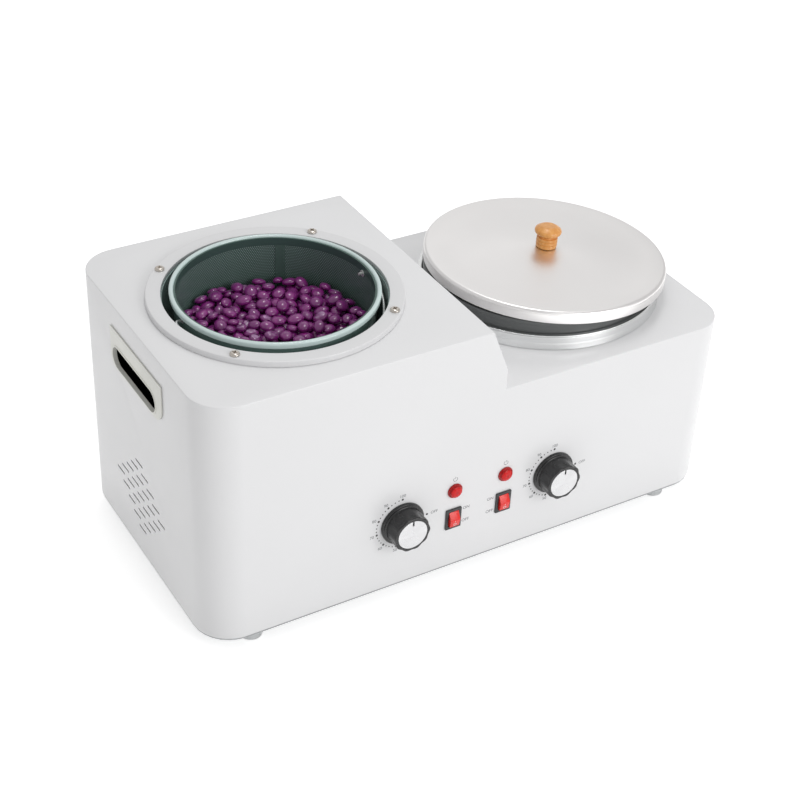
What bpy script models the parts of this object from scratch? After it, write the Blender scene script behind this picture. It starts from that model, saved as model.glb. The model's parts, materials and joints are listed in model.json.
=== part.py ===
"""Twin wax warmer: a tall station with a filter basket and a low station with a lidded pot.

Metres, +Z up, front towards -Y. The origin is on the table, under the middle of the whole part.
"""

import math

import bmesh
import bpy
from mathutils import Matrix, Vector

# Steps of round shapes
ROUND_STEPS = 44
MEDIUM_STEPS = 24
FOOT_STEPS = 16
FLUTE_STEPS = 4
SMALL_STEPS = 12
HOLE_STEPS = 8
CORNER_STEPS = 2
PLAN_CORNER_STEPS = 7
CHAMFER_LIMIT = 0.0025

# Shared fits
GAP = 0.0003
OVERRUN = 0.004
MERGE = 0.00002

# Casing: a tall deck at the left and a low deck at the right, sized round the two stations
LEFT_MARGIN = 0.0187
RIGHT_MARGIN = 0.0110
DECK_MARGIN = 0.0195
STATION_GAP = 0.0491
TALL_HEIGHT = 0.233
LOW_HEIGHT = 0.1725
CORNER_RADIUS = 0.0335
SHEET = 0.0012
EDGE_BEVEL = 0.0009
STAND_HEIGHT = 0.016
STEP_MARGIN = 0.0246
STEP_RUN = 0.0168
STEP_SLANT_DROP = 0.041
BASE_FLANGE = 0.030
BASE_EDGE_INSET = 0.0006

# Vent slots in both side walls: a diamond of staggered short slots
VENT_LENGTH = 0.0150
VENT_HEIGHT = 0.0024
VENT_SIDE_COUNT = 5
VENT_STEP_Y = 0.01065
VENT_STEP_Z = 0.0089
VENT_CENTRE_Z = 0.0638
VENT_BACK_SHIFT = 0.0055

# Grip frames in both side walls
GRIP_WIDTH = 0.1025
GRIP_HEIGHT = 0.0373
GRIP_TOP_CORNER = 0.001
GRIP_FRONT_CORNER = 0.015
GRIP_REAR_CORNER = 0.008
GRIP_FLANGE = 0.001
GRIP_SLOT_WIDTH = 0.086
GRIP_SLOT_HEIGHT = 0.020
GRIP_NECK_WALL = 0.0012
GRIP_NECK_DEPTH = 0.010
GRIP_DROP = 0.03935
GRIP_BACK_SHIFT = -0.00125
GRIP_SLOT_BACK = 0.00375
GRIP_SLOT_DROP = 0.00665

# Feet and the screws through them
FOOT_RADIUS = 0.010
FOOT_ROUND = 0.003
FOOT_INSET_X = 0.045
FOOT_INSET_Y = 0.0172
FOOT_RECESS_RADIUS = 0.0052
FOOT_RECESS_SHARE = 0.55
FOOT_SCREW_HEAD = 0.0040
FOOT_SCREW_SHANK = 0.0018
PAN_HEAD_SHARE = 0.5

# Left station: tank, flange ring and its screws
TANK_RADIUS = 0.0928
TANK_WALL = 0.0012
TANK_LIP = 0.0010
TANK_DEPTH = 0.165
VESSEL_FLOOR_ROUND = 0.008
RING_SETBACK = 0.0010
RING_WIDTH = 0.0128
RING_SKIRT = 0.0020
RING_HEIGHT = 0.0052
RING_ROUND = 0.0008
RING_SCREW_INSET = 0.0053
RING_SCREW_COUNT = 4
RING_SCREW_HEAD = 0.0041
RING_SCREW_SHANK = 0.0016
RING_SCREW_REACH = 0.0040

# Filter basket and its bail
BASKET_CLEARANCE = 0.0056
BASKET_RIM_WIDTH = 0.0038
BASKET_RIM_RISE = 0.0090
BASKET_RIM_DEPTH = 0.0056
BASKET_RIM_ROUND = 0.0016
BASKET_WALL = 0.0008
BASKET_FLOOR_ROUND = 0.006
BAIL_CLEARANCE = 0.0026
BAIL_WIRE = 0.0025
BAIL_BEND = 0.0030
BAIL_STUB = 0.0030
BAIL_PIVOT_DROP = 0.0040
BAIL_AZIMUTH = 0
BAIL_REST_TILT = math.radians(17)
EYELET_RADIUS = 0.0030
EYELET_FLANGE = 0.0008

# Right station: collar, well, pot and lid
COLLAR_WIDTH = 0.0036
COLLAR_FLARE = 0.0012
COLLAR_HEIGHT = 0.0118
WELL_RADIUS = 0.1052
WELL_WALL = 0.0010
WELL_LIP = 0.0010
POT_CLEARANCE = 0.0007
POT_WALL = 0.0015
POT_RIM_RISE = 0.0250
POT_RIM_DEPTH = 0.0040
POT_RIM_WIDTH = 0.0039
POT_RIM_PROUD = 0.0006
POT_RIM_ROUND = 0.0016
POT_DEPTH = 0.1174
LID_SHEET = 0.0012
LID_DEPTH = 0.0112
LID_ROUND = 0.0030
LID_CROWN = 0.0054
LID_CROWN_RADIUS = 0.094
LID_CROWN_STEPS = 6
LID_SLIP = 0.0068
LID_SLIP_AZIMUTH = math.radians(8)
LID_KNOB_HEIGHT = 0.0203
LID_KNOB_HEAD = 0.0125
LID_KNOB_WAIST = 0.0075
LID_KNOB_BASE = 0.0096
LID_KNOB_HEAD_SHARES = ((0.48, 1.00), (0.84, 0.95), (1.00, 0.81), (0.94, 0.67), (0.72, 0.58))
LID_KNOB_WAIST_SHARE = 0.52
LID_KNOB_BASE_SHARES = ((0.90, 0.47), (1.00, 0.41), (0.91, 0.34), (1.00, 0.26), (0.91, 0.18), (0.97, 0.00))
LID_SCREW_HEAD = 0.0045
LID_SCREW_SHANK = 0.0020
LID_SCREW_BITE = 0.0120

# Heaters and insulation under the decks
PLATE_INSET = 0.0130
PLATE_THICKNESS = 0.008
PLATE_BOLT_HEAD = 0.0065
PLATE_BOLT_SHANK = 0.0030
LEFT_SLEEVE = 0.0040
RIGHT_SLEEVE = 0.0030
SLEEVE_TOP_DROP = 0.006

# Dials: knob, cap, shaft and thermostat
DIAL_SPREAD = 0.0767
DIAL_HEIGHT = 0.0665
CONTROL_SHIFT_X = -0.0014
KNOB_REACH = 0.0185
KNOB_SKIRT_RADIUS = 0.0203
KNOB_SKIRT_DEPTH = 0.0028
KNOB_RADIUS = 0.0173
KNOB_FLUTES = 10
KNOB_FLUTE_DEPTH = 0.0009
KNOB_ROUND = 0.0008
CAP_RADIUS = 0.0139
CAP_THICKNESS = 0.0011
CAP_PROUD = 0.0005
POINTER_WIDTH = 0.0016
POINTER_LENGTH = 0.0047
SHAFT_RADIUS = 0.0030
SHAFT_IN_KNOB = 0.0120
BUSH_RADIUS = 0.0045
THERMOSTAT_WIDTH = 0.040
THERMOSTAT_HEIGHT = 0.034
THERMOSTAT_DEPTH = 0.027
SHAFT_IN_THERMOSTAT = 0.010
CAPILLARY_RADIUS = 0.0009
BULB_RADIUS = 0.0028
BULB_LENGTH = 0.024
BULB_AZIMUTH = math.radians(35)
CAPILLARY_LOOP = 0.010

# Rocker switches
SWITCH_SPREAD = 0.0255
SWITCH_HEIGHT = 0.0525
BEZEL_WIDTH = 0.0154
BEZEL_HEIGHT = 0.0210
BEZEL_THICKNESS = 0.0012
BEZEL_CORNER = 0.0008
SWITCH_BODY_MARGIN = 0.0010
SWITCH_BODY_DEPTH = 0.018
ROCKER_POCKET_MARGIN = 0.0026
ROCKER_POCKET_DEPTH = 0.0085
ROCKER_SIDE_CLEARANCE = 0.0004
ROCKER_RIDGE_REACH = 0.0036
ROCKER_END_REACH = 0.0010
ROCKER_BACK_REACH = 0.0034
ROCKER_BACK_SHARE = 0.75
ROCKER_TILT = math.radians(9)
ROCKER_PIVOT_DEPTH = 0.0010
ROCKER_PIN_RADIUS = 0.0010
ROCKER_PIN_LENGTH = 0.0009

# Indicator lamps
LAMP_SPREAD = 0.0255
LAMP_HEIGHT = 0.0822
LAMP_RADIUS = 0.0071
LAMP_FLANGE = 0.0011
LAMP_DOME = 0.0030
LAMP_DOME_RADIUS = 0.0061
LAMP_SHOULDER_RADIUS = 0.0053
LAMP_SHOULDER_DROP = 0.0009
LAMP_TOP_RADIUS = 0.0032
LAMP_BODY_RADIUS = 0.0050
LAMP_BODY_LENGTH = 0.022
LAMP_NUT_RADIUS = 0.0075
LAMP_NUT_THICKNESS = 0.003

# Mains inlet at the back, terminal block and leads
INLET_REACH = 0.0025
INLET_WIDTH = 0.0310
INLET_HEIGHT = 0.0245
INLET_CORNER = 0.0020
INLET_BODY_WIDTH = 0.0272
INLET_BODY_HEIGHT = 0.0200
INLET_BODY_DEPTH = 0.0180
SOCKET_WIDTH = 0.0240
SOCKET_HEIGHT = 0.0160
SOCKET_DEPTH = 0.0150
SOCKET_CORNER = 0.0040
INLET_Z = 0.045
PIN_WIDTH = 0.0020
PIN_HEIGHT = 0.0040
PIN_SPREAD = 0.0070
PIN_RISE = 0.0020
PIN_TIP_DEPTH = 0.0020
PIN_TAIL = 0.0060
BLOCK_WIDTH = 0.050
BLOCK_DEPTH = 0.022
BLOCK_HEIGHT = 0.018
BLOCK_BACK = 0.060
BLOCK_BEVEL = 0.0012
LEAD_RADIUS = 0.0016
LEAD_STEPS = 4

# Radii of the two stations, from the vessels outwards and inwards
TANK_OUTER = TANK_RADIUS + TANK_WALL
RING_INNER = TANK_RADIUS + RING_SETBACK
RING_OUTER = RING_INNER + RING_WIDTH
TANK_LIP_RADIUS = RING_OUTER - RING_SKIRT
RING_SCREW_CIRCLE = RING_OUTER - RING_SCREW_INSET
BASKET_RIM_OUTER = TANK_RADIUS - BASKET_CLEARANCE
BASKET_RIM_INNER = BASKET_RIM_OUTER - BASKET_RIM_WIDTH
BASKET_OUTER = BASKET_RIM_INNER - GAP
BAIL_RADIUS = BASKET_RIM_OUTER + BAIL_CLEARANCE
WELL_OUTER = WELL_RADIUS + WELL_WALL
COLLAR_TOP_RADIUS = WELL_RADIUS + COLLAR_WIDTH
COLLAR_BASE_RADIUS = COLLAR_TOP_RADIUS + COLLAR_FLARE
POT_RADIUS = WELL_RADIUS - POT_CLEARANCE
POT_RIM_OUTER = POT_RADIUS + POT_RIM_PROUD
POT_RIM_INNER = POT_RIM_OUTER - POT_RIM_WIDTH
LID_RADIUS = COLLAR_BASE_RADIUS
LEFT_PLATE_RADIUS = TANK_RADIUS - PLATE_INSET
RIGHT_PLATE_RADIUS = WELL_RADIUS - PLATE_INSET

# Casing round the stations
LEFT_POT_INSET = LEFT_MARGIN + RING_OUTER
RIGHT_POT_INSET = RIGHT_MARGIN + COLLAR_BASE_RADIUS
STATION_SPACING = RING_OUTER + STATION_GAP + COLLAR_BASE_RADIUS
CASING_WIDTH = LEFT_POT_INSET + STATION_SPACING + RIGHT_POT_INSET
CASING_DEPTH = 2 * (max(RING_OUTER, COLLAR_BASE_RADIUS) + DECK_MARGIN)

# Places worked out from the sizes above
MID_Y = (KNOB_REACH - INLET_REACH) / 2
FRONT_Y = MID_Y - CASING_DEPTH / 2
BACK_Y = MID_Y + CASING_DEPTH / 2
LEFT_X = -CASING_WIDTH / 2
RIGHT_X = CASING_WIDTH / 2
BASE_Z = STAND_HEIGHT
TALL_Z = BASE_Z + TALL_HEIGHT
LOW_Z = BASE_Z + LOW_HEIGHT
PANEL_BACK_Y = FRONT_Y + SHEET
LEFT_POT_X = LEFT_X + LEFT_POT_INSET
RIGHT_POT_X = RIGHT_X - RIGHT_POT_INSET
TANK_FLOOR_Z = TALL_Z + GAP + TANK_LIP - TANK_DEPTH
STEP_TOP_X = LEFT_POT_X + RING_OUTER + STEP_MARGIN
STEP_FOOT_X = STEP_TOP_X + STEP_RUN
RING_TOP_Z = TALL_Z + RING_HEIGHT
RING_SEAT_Z = TALL_Z + GAP + TANK_LIP + GAP
RIM_TOP_Z = TALL_Z + BASKET_RIM_RISE
RIM_BASE_Z = RIM_TOP_Z - BASKET_RIM_DEPTH
BASKET_FLOOR_Z = TANK_FLOOR_Z + GAP
BAIL_PIVOT_Z = RIM_BASE_Z - BAIL_PIVOT_DROP
COLLAR_TOP_Z = LOW_Z + GAP + COLLAR_HEIGHT
WELL_TOP_Z = COLLAR_TOP_Z + GAP + WELL_LIP
POT_RIM_Z = LOW_Z + POT_RIM_RISE
POT_BASE_Z = POT_RIM_Z - POT_DEPTH
WELL_FLOOR_Z = POT_BASE_Z - GAP
CONTROL_X = CONTROL_SHIFT_X
DIAL_Z = BASE_Z + DIAL_HEIGHT
KNOB_FACE_Y = FRONT_Y - KNOB_REACH
SWITCH_Z = BASE_Z + SWITCH_HEIGHT
LAMP_Z = BASE_Z + LAMP_HEIGHT
BASE_PLATE_BOTTOM_Z = BASE_Z - GAP - SHEET
FOOT_TOP_Z = BASE_PLATE_BOTTOM_Z - GAP
INLET_FACE_Y = BACK_Y + INLET_REACH
INLET_CENTRE_Z = BASE_Z + INLET_Z

# Turns that stand an outline up: its own X and Y become world X and Z, or world Y and Z
FLAT = (0, 0, 0)
FACING_FRONT = (math.pi / 2, 0, 0)
FACING_SIDE = (math.pi / 2, 0, math.pi / 2)

for old in list(bpy.data.objects):
    bpy.data.objects.remove(old, do_unlink=True)
parts = bpy.data.collections.new("Wax warmer")
helpers = bpy.data.collections.new("Cutters")
bpy.context.scene.collection.children.link(parts)
bpy.context.scene.collection.children.link(helpers)


def material(name, colour, roughness, metallic=0.0, alpha=1.0):
    made = bpy.data.materials.new(name)
    made.use_nodes = True
    shader = made.node_tree.nodes["Principled BSDF"]
    shader.inputs["Base Color"].default_value = (*colour, 1)
    shader.inputs["Roughness"].default_value = roughness
    shader.inputs["Metallic"].default_value = metallic
    shader.inputs["Alpha"].default_value = alpha
    return made


WHITE_PAINT = material("White paint", (0.84, 0.84, 0.85), 0.35)
GREY_SHEET = material("Grey sheet", (0.45, 0.46, 0.47), 0.4, 0.9)
CLEAR_RUBBER = material("Clear rubber", (0.55, 0.56, 0.57), 0.3)
NICKEL = material("Nickel", (0.72, 0.68, 0.62), 0.3, 1.0)
DARK_TANK = material("Dark tank", (0.05, 0.07, 0.07), 0.35, 0.3)
PALE_TEAL = material("Pale teal", (0.56, 0.68, 0.66), 0.25)
TEAL_MESH = material("Teal mesh", (0.05, 0.10, 0.09), 0.4, 0.4)
BRIGHT_WIRE = material("Bright wire", (0.75, 0.75, 0.75), 0.25, 1.0)
ALUMINIUM = material("Aluminium", (0.82, 0.82, 0.83), 0.28, 1.0)
POT_GREY = material("Pot grey", (0.10, 0.105, 0.105), 0.45, 0.3)
WOOD = material("Wood", (0.75, 0.36, 0.09), 0.4)
BLACK_PLASTIC = material("Black plastic", (0.02, 0.02, 0.02), 0.25)
RED_PLASTIC = material("Red plastic", (0.70, 0.02, 0.02), 0.3)
RED_LENS = material("Red lens", (0.75, 0.02, 0.03), 0.15, 0.0, 0.9)
BEIGE_PLASTIC = material("Beige plastic", (0.66, 0.66, 0.62), 0.45)
GLASS_WOOL = material("Glass wool", (0.70, 0.66, 0.50), 0.95)
COPPER = material("Copper", (0.72, 0.38, 0.22), 0.35, 1.0)
LEAD_SKIN = material("Lead skin", (0.25, 0.10, 0.06), 0.6)
BRASS = material("Brass", (0.70, 0.52, 0.22), 0.35, 1.0)


def add_object(name, data, surface, location=(0, 0, 0), rotation=FLAT, collection=parts):
    made = bpy.data.objects.new(name, data)
    made.location = location
    made.rotation_euler = rotation
    if surface:
        data.materials.append(surface)
    collection.objects.link(made)
    return made


def rounded(corners, steps=CORNER_STEPS):
    """Points of an outline given as (x, y, radius) corners. Small radii become a plain chamfer."""
    points = []
    for index, (x, y, radius) in enumerate(corners):
        corner = Vector((x, y))
        if radius <= 0:
            points.append(corner)
            continue
        back = (Vector(corners[index - 1][:2]) - corner).normalized()
        ahead = (Vector(corners[(index + 1) % len(corners)][:2]) - corner).normalized()
        half_angle = back.angle(ahead) / 2
        centre = corner + (back + ahead).normalized() * radius / math.sin(half_angle)
        start = corner + back * radius / math.tan(half_angle) - centre
        sweep = math.pi - 2 * half_angle
        if back.x * ahead.y - back.y * ahead.x > 0:
            sweep = -sweep
        count = steps if radius > CHAMFER_LIMIT else 1
        for step in range(count + 1):
            points.append(centre + Matrix.Rotation(sweep * step / count, 2) @ start)
    return points


def rectangle(width, height, radius, centre=(0, 0), steps=CORNER_STEPS):
    """A rounded rectangle about its centre, counter-clockwise."""
    x, y = centre
    corners = [(x - width / 2, y - height / 2), (x + width / 2, y - height / 2)]
    corners += [(x + width / 2, y + height / 2), (x - width / 2, y + height / 2)]
    return rounded([(*corner, radius) for corner in corners], steps)


def circle(radius, centre=(0, 0), steps=ROUND_STEPS):
    turn = 2 * math.pi / steps
    return [
        (centre[0] + radius * math.cos(turn * k), centre[1] + radius * math.sin(turn * k))
        for k in range(steps)
    ]


def mesh_of(curve_object):
    """The evaluated mesh of a curve object, welded shut. The curve object is removed."""
    graph = bpy.context.evaluated_depsgraph_get()
    mesh = bpy.data.meshes.new_from_object(curve_object.evaluated_get(graph))
    shape = bmesh.new()
    shape.from_mesh(mesh)
    bmesh.ops.remove_doubles(shape, verts=shape.verts, dist=MERGE)
    bmesh.ops.recalc_face_normals(shape, faces=shape.faces)
    shape.to_mesh(mesh)
    shape.free()
    mesh.materials.clear()
    bpy.data.objects.remove(curve_object)
    return mesh


def slab(name, outlines, thickness, surface=None, location=(0, 0, 0), rotation=FLAT, collection=parts):
    """Flat outlines with their holes, extruded to a thickness about their own plane."""
    curve = bpy.data.curves.new(name, "CURVE")
    curve.dimensions = "2D"
    curve.fill_mode = "BOTH"
    curve.extrude = thickness / 2
    for outline in outlines:
        spline = curve.splines.new("POLY")
        spline.points.add(len(outline) - 1)
        for point, (x, y) in zip(spline.points, outline):
            point.co = (x, y, 0, 1)
        spline.use_cyclic_u = True
    mesh = mesh_of(add_object(name + " outline", curve, None, collection=helpers))
    return add_object(name, mesh, surface, location, rotation, collection)


def turned(name, profile, surface, location=(0, 0, 0), rotation=FLAT, steps=ROUND_STEPS, ring=False,
           collection=parts):
    """A profile of (radius, height, rounding) corners turned about Z. A ring's profile is closed."""
    points = rounded(profile)
    edges = [(k, k + 1) for k in range(len(points) - 1)]
    if ring:
        edges.append((len(points) - 1, 0))
    mesh = bpy.data.meshes.new(name)
    mesh.from_pydata([(x, 0, z) for x, z in points], edges, [])
    made = add_object(name, mesh, surface, location, rotation, collection)
    turn = made.modifiers.new("Turn", "SCREW")
    turn.axis = "Z"
    turn.steps = turn.render_steps = steps
    turn.use_merge_vertices = True
    turn.merge_threshold = MERGE
    turn.use_smooth_shade = True
    return made


def rod(name, radius, length, surface=None, location=(0, 0, 0), rotation=FLAT, steps=SMALL_STEPS,
        collection=parts):
    """A cylinder along its own Z, from its location upwards."""
    shape = bmesh.new()
    lift = Matrix.Translation((0, 0, length / 2))
    bmesh.ops.create_cone(
        shape, cap_ends=True, segments=steps, radius1=radius, radius2=radius, depth=length, matrix=lift
    )
    mesh = bpy.data.meshes.new(name)
    shape.to_mesh(mesh)
    shape.free()
    return add_object(name, mesh, surface, location, rotation, collection)


def block(name, size, surface=None, location=(0, 0, 0), bevel=0, collection=parts):
    """A box about its location, with its edges bevelled."""
    shape = bmesh.new()
    bmesh.ops.create_cube(shape, size=1, matrix=Matrix.Diagonal((*size, 1)))
    mesh = bpy.data.meshes.new(name)
    shape.to_mesh(mesh)
    shape.free()
    made = add_object(name, mesh, surface, location, FLAT, collection)
    if bevel:
        soften(made, bevel)
    return made


def soften(target, width, segments=1):
    edge = target.modifiers.new("Soft edges", "BEVEL")
    edge.width = width
    edge.segments = segments
    edge.limit_method = "ANGLE"
    return edge


def combine(target, tool, operation):
    """Keeps the tool as a hidden helper of the target, and cuts, joins or trims with it."""
    if tool.name not in helpers.objects:
        parts.objects.unlink(tool)
        helpers.objects.link(tool)
    tool.hide_render = True
    tool.display_type = "WIRE"
    step = target.modifiers.new(operation.title() + " " + tool.name, "BOOLEAN")
    step.operation = operation
    step.object = tool
    return target


def cut(target, tool):
    return combine(target, tool, "DIFFERENCE")


def join(target, tool):
    return combine(target, tool, "UNION")


def smooth_points(route, steps):
    """Points on a smooth curve through the route's own points."""
    route = [Vector(point) for point in route]
    ends = [2 * route[0] - route[1]] + route + [2 * route[-1] - route[-2]]
    points = []
    for k in range(1, len(ends) - 2):
        a, b, c, d = ends[k - 1 : k + 3]
        for step in range(steps):
            t = step / steps
            even = 2 * b + (c - a) * t
            points.append((even + (2 * a - 5 * b + 4 * c - d) * t**2 + (3 * b - a - 3 * c + d) * t**3) / 2)
    return points + [ends[-2]]


def tube(name, points, radius, surface, location=(0, 0, 0), rotation=FLAT, swell=None):
    """A round wire along its points. swell gives each point's share of the radius."""
    curve = bpy.data.curves.new(name, "CURVE")
    curve.dimensions = "3D"
    curve.bevel_depth = radius
    curve.bevel_resolution = 2
    curve.use_fill_caps = True
    spline = curve.splines.new("POLY")
    spline.points.add(len(points) - 1)
    for index, (point, place) in enumerate(zip(spline.points, points)):
        point.co = (*place, 1)
        if swell:
            point.radius = swell[index]
    return add_object(name, curve, surface, location, rotation)


def screw(name, head, shank, reach, surface, location, rotation=FLAT):
    """A pan-head screw: the underside of its head is at its location and its shank runs down -Z."""
    rise = head * PAN_HEAD_SHARE
    profile = [(0, rise, 0), (head, rise, rise * PAN_HEAD_SHARE), (head, 0, 0), (shank, 0, 0)]
    profile += [(shank, -reach, 0), (0, -reach, 0)]
    return turned(name, profile, surface, location, rotation, SMALL_STEPS)


def step_x(z, inset):
    """X of the step between the decks at a height, set back into the tall part by inset."""
    slope = (STEP_FOOT_X - STEP_TOP_X) / STEP_SLANT_DROP
    slant = STEP_TOP_X + (TALL_Z - z) * slope - inset * math.hypot(1, slope)
    return min(slant, STEP_FOOT_X - inset)


def casing_front(inset, bottom):
    """The casing's stepped front outline, set in by inset, from a bottom height."""
    low, tall = LOW_Z - inset, TALL_Z - inset
    slope = (STEP_FOOT_X - STEP_TOP_X) / STEP_SLANT_DROP
    bend = TALL_Z - (STEP_FOOT_X - inset + inset * math.hypot(1, slope) - STEP_TOP_X) / slope
    return [
        (LEFT_X + inset, bottom),
        (RIGHT_X - inset, bottom),
        (RIGHT_X - inset, low),
        (STEP_FOOT_X - inset, low),
        (STEP_FOOT_X - inset, bend),
        (step_x(tall, inset), tall),
        (LEFT_X + inset, tall),
    ]


def casing_plan(inset):
    size = (CASING_WIDTH - 2 * inset, CASING_DEPTH - 2 * inset)
    return rectangle(*size, max(CORNER_RADIUS - inset, SHEET), (0, MID_Y), PLAN_CORNER_STEPS)


def foot_places():
    for side, x in (("left", LEFT_X + FOOT_INSET_X), ("right", RIGHT_X - FOOT_INSET_X)):
        for end, y in (("front", FRONT_Y + FOOT_INSET_Y), ("rear", BACK_Y - FOOT_INSET_Y)):
            yield f"{end}_{side}", x, y


def ring_screw_places():
    for k in range(RING_SCREW_COUNT):
        angle = 2 * math.pi * (k + 1 / 2) / RING_SCREW_COUNT
        x = LEFT_POT_X + RING_SCREW_CIRCLE * math.cos(angle)
        yield k + 1, x, MID_Y + RING_SCREW_CIRCLE * math.sin(angle)


def sides():
    """Name and sign of the left and right controls."""
    return (("left", -1), ("right", 1))


def grip_centre_z(side):
    deck = TALL_Z if side == "left" else LOW_Z
    return deck - GRIP_DROP


def make_casing():
    height = TALL_HEIGHT + 2 * OVERRUN
    middle_z = BASE_Z + TALL_HEIGHT / 2
    casing = slab("outer_casing", [casing_front(0, BASE_Z)], CASING_DEPTH + 2 * OVERRUN, WHITE_PAINT,
                  (0, MID_Y, 0), FACING_FRONT)
    plan = slab("Casing plan", [casing_plan(0)], height, None, (0, 0, middle_z))
    combine(casing, plan, "INTERSECT")
    soften(casing, EDGE_BEVEL, 2)
    inner = slab("Casing inside", [casing_front(SHEET, BASE_Z + SHEET)], CASING_DEPTH, None,
                 (0, MID_Y, 0), FACING_FRONT)
    inner_plan = slab("Casing inside plan", [casing_plan(SHEET)], height, None, (0, 0, middle_z))
    combine(inner, inner_plan, "INTERSECT")
    cut(casing, inner)
    cut(casing, floor_cuts("Floor cuts", SHEET, True))
    cut(casing, deck_cuts())
    cut(casing, front_cuts())
    cut(casing, vent_cuts())
    for side, x in (("left", LEFT_X), ("right", RIGHT_X)):
        size = grip_neck_size()
        window = rectangle(size[0] + 2 * GAP, size[1] + 2 * GAP, size[1] / 2, (0, 0), CORNER_STEPS)
        place = (x, MID_Y + GRIP_BACK_SHIFT + GRIP_SLOT_BACK, grip_centre_z(side) - GRIP_SLOT_DROP)
        cut(casing, slab(f"Grip window {side}", [window], 2 * OVERRUN, None, place, FACING_SIDE))
    hole = rectangle(INLET_BODY_WIDTH + 2 * GAP, INLET_BODY_HEIGHT + 2 * GAP, GAP)
    cut(casing, slab("Inlet window", [hole], 2 * OVERRUN, None, (0, BACK_Y, INLET_CENTRE_Z), FACING_FRONT))


def floor_cuts(name, thickness, opening):
    """The hole inside the base flange, where there is one, and the holes for the foot screws."""
    outlines = [circle(FOOT_SCREW_SHANK + GAP, (x, y), HOLE_STEPS) for _, x, y in foot_places()]
    if opening:
        outlines.append(casing_plan(BASE_FLANGE))
    return slab(name, outlines, 2 * (thickness + OVERRUN), None, (0, 0, BASE_Z))


def deck_cuts():
    """Holes for the tank, the well and the ring's screws, through both decks."""
    outlines = [circle(TANK_OUTER + GAP, (LEFT_POT_X, MID_Y)), circle(WELL_OUTER + GAP, (RIGHT_POT_X, MID_Y))]
    for _, x, y in ring_screw_places():
        outlines.append(circle(RING_SCREW_SHANK + GAP, (x, y), HOLE_STEPS))
    low, high = LOW_Z - SHEET - OVERRUN, TALL_Z + OVERRUN
    return slab("Deck cuts", outlines, high - low, None, (0, 0, (low + high) / 2))


def front_cuts():
    """Holes in the front panel for the dials, the switches and the lamps."""
    outlines = []
    for _, sign in sides():
        outlines.append(circle(BUSH_RADIUS + GAP, (CONTROL_X + sign * DIAL_SPREAD, DIAL_Z), SMALL_STEPS))
        width, height = switch_body_size()
        place = (CONTROL_X + sign * SWITCH_SPREAD, SWITCH_Z)
        outlines.append(rectangle(width + 2 * GAP, height + 2 * GAP, GAP, place, 1))
        place = (CONTROL_X + sign * LAMP_SPREAD, LAMP_Z)
        outlines.append(circle(LAMP_BODY_RADIUS + GAP, place, SMALL_STEPS))
    return slab("Front cuts", outlines, 2 * OVERRUN, None, (0, FRONT_Y, 0), FACING_FRONT)


def vent_cuts():
    """Slots through both side walls, on a lattice turned to stand on its corner."""
    outlines = []
    middle = (VENT_SIDE_COUNT - 1) / 2
    for i in range(VENT_SIDE_COUNT):
        for j in range(VENT_SIDE_COUNT):
            y = MID_Y + VENT_BACK_SHIFT - (i + j - 2 * middle) * VENT_STEP_Y
            z = BASE_Z + VENT_CENTRE_Z + (i - j) * VENT_STEP_Z
            outlines.append(rectangle(VENT_LENGTH, VENT_HEIGHT, 0, (y, z)))
    return slab("Vent cuts", outlines, CASING_WIDTH + 2 * OVERRUN, None, (0, 0, 0), FACING_SIDE)


def make_base():
    plate = slab("base_plate", [casing_plan(BASE_EDGE_INSET)], SHEET, GREY_SHEET,
                 (0, 0, BASE_PLATE_BOTTOM_Z + SHEET / 2))
    cut(plate, floor_cuts("Base plate holes", SHEET, False))
    hole = FOOT_SCREW_SHANK + GAP
    recess = FOOT_TOP_Z * FOOT_RECESS_SHARE
    for name, x, y in foot_places():
        profile = [(hole, FOOT_TOP_Z, 0), (FOOT_RADIUS, FOOT_TOP_Z, 0), (FOOT_RADIUS, 0, FOOT_ROUND)]
        profile += [(FOOT_RECESS_RADIUS, 0, 0), (FOOT_RECESS_RADIUS, recess, 0), (hole, recess, 0)]
        turned(f"foot_{name}", profile, CLEAR_RUBBER, (x, y, 0), steps=FOOT_STEPS, ring=True)
        screw(f"foot_screw_{name}", FOOT_SCREW_HEAD, FOOT_SCREW_SHANK,
              BASE_Z + SHEET - recess, NICKEL, (x, y, recess - GAP), (math.pi, 0, 0))


def grip_neck_size():
    return (GRIP_SLOT_WIDTH + 2 * GRIP_NECK_WALL, GRIP_SLOT_HEIGHT + 2 * GRIP_NECK_WALL)


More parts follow.
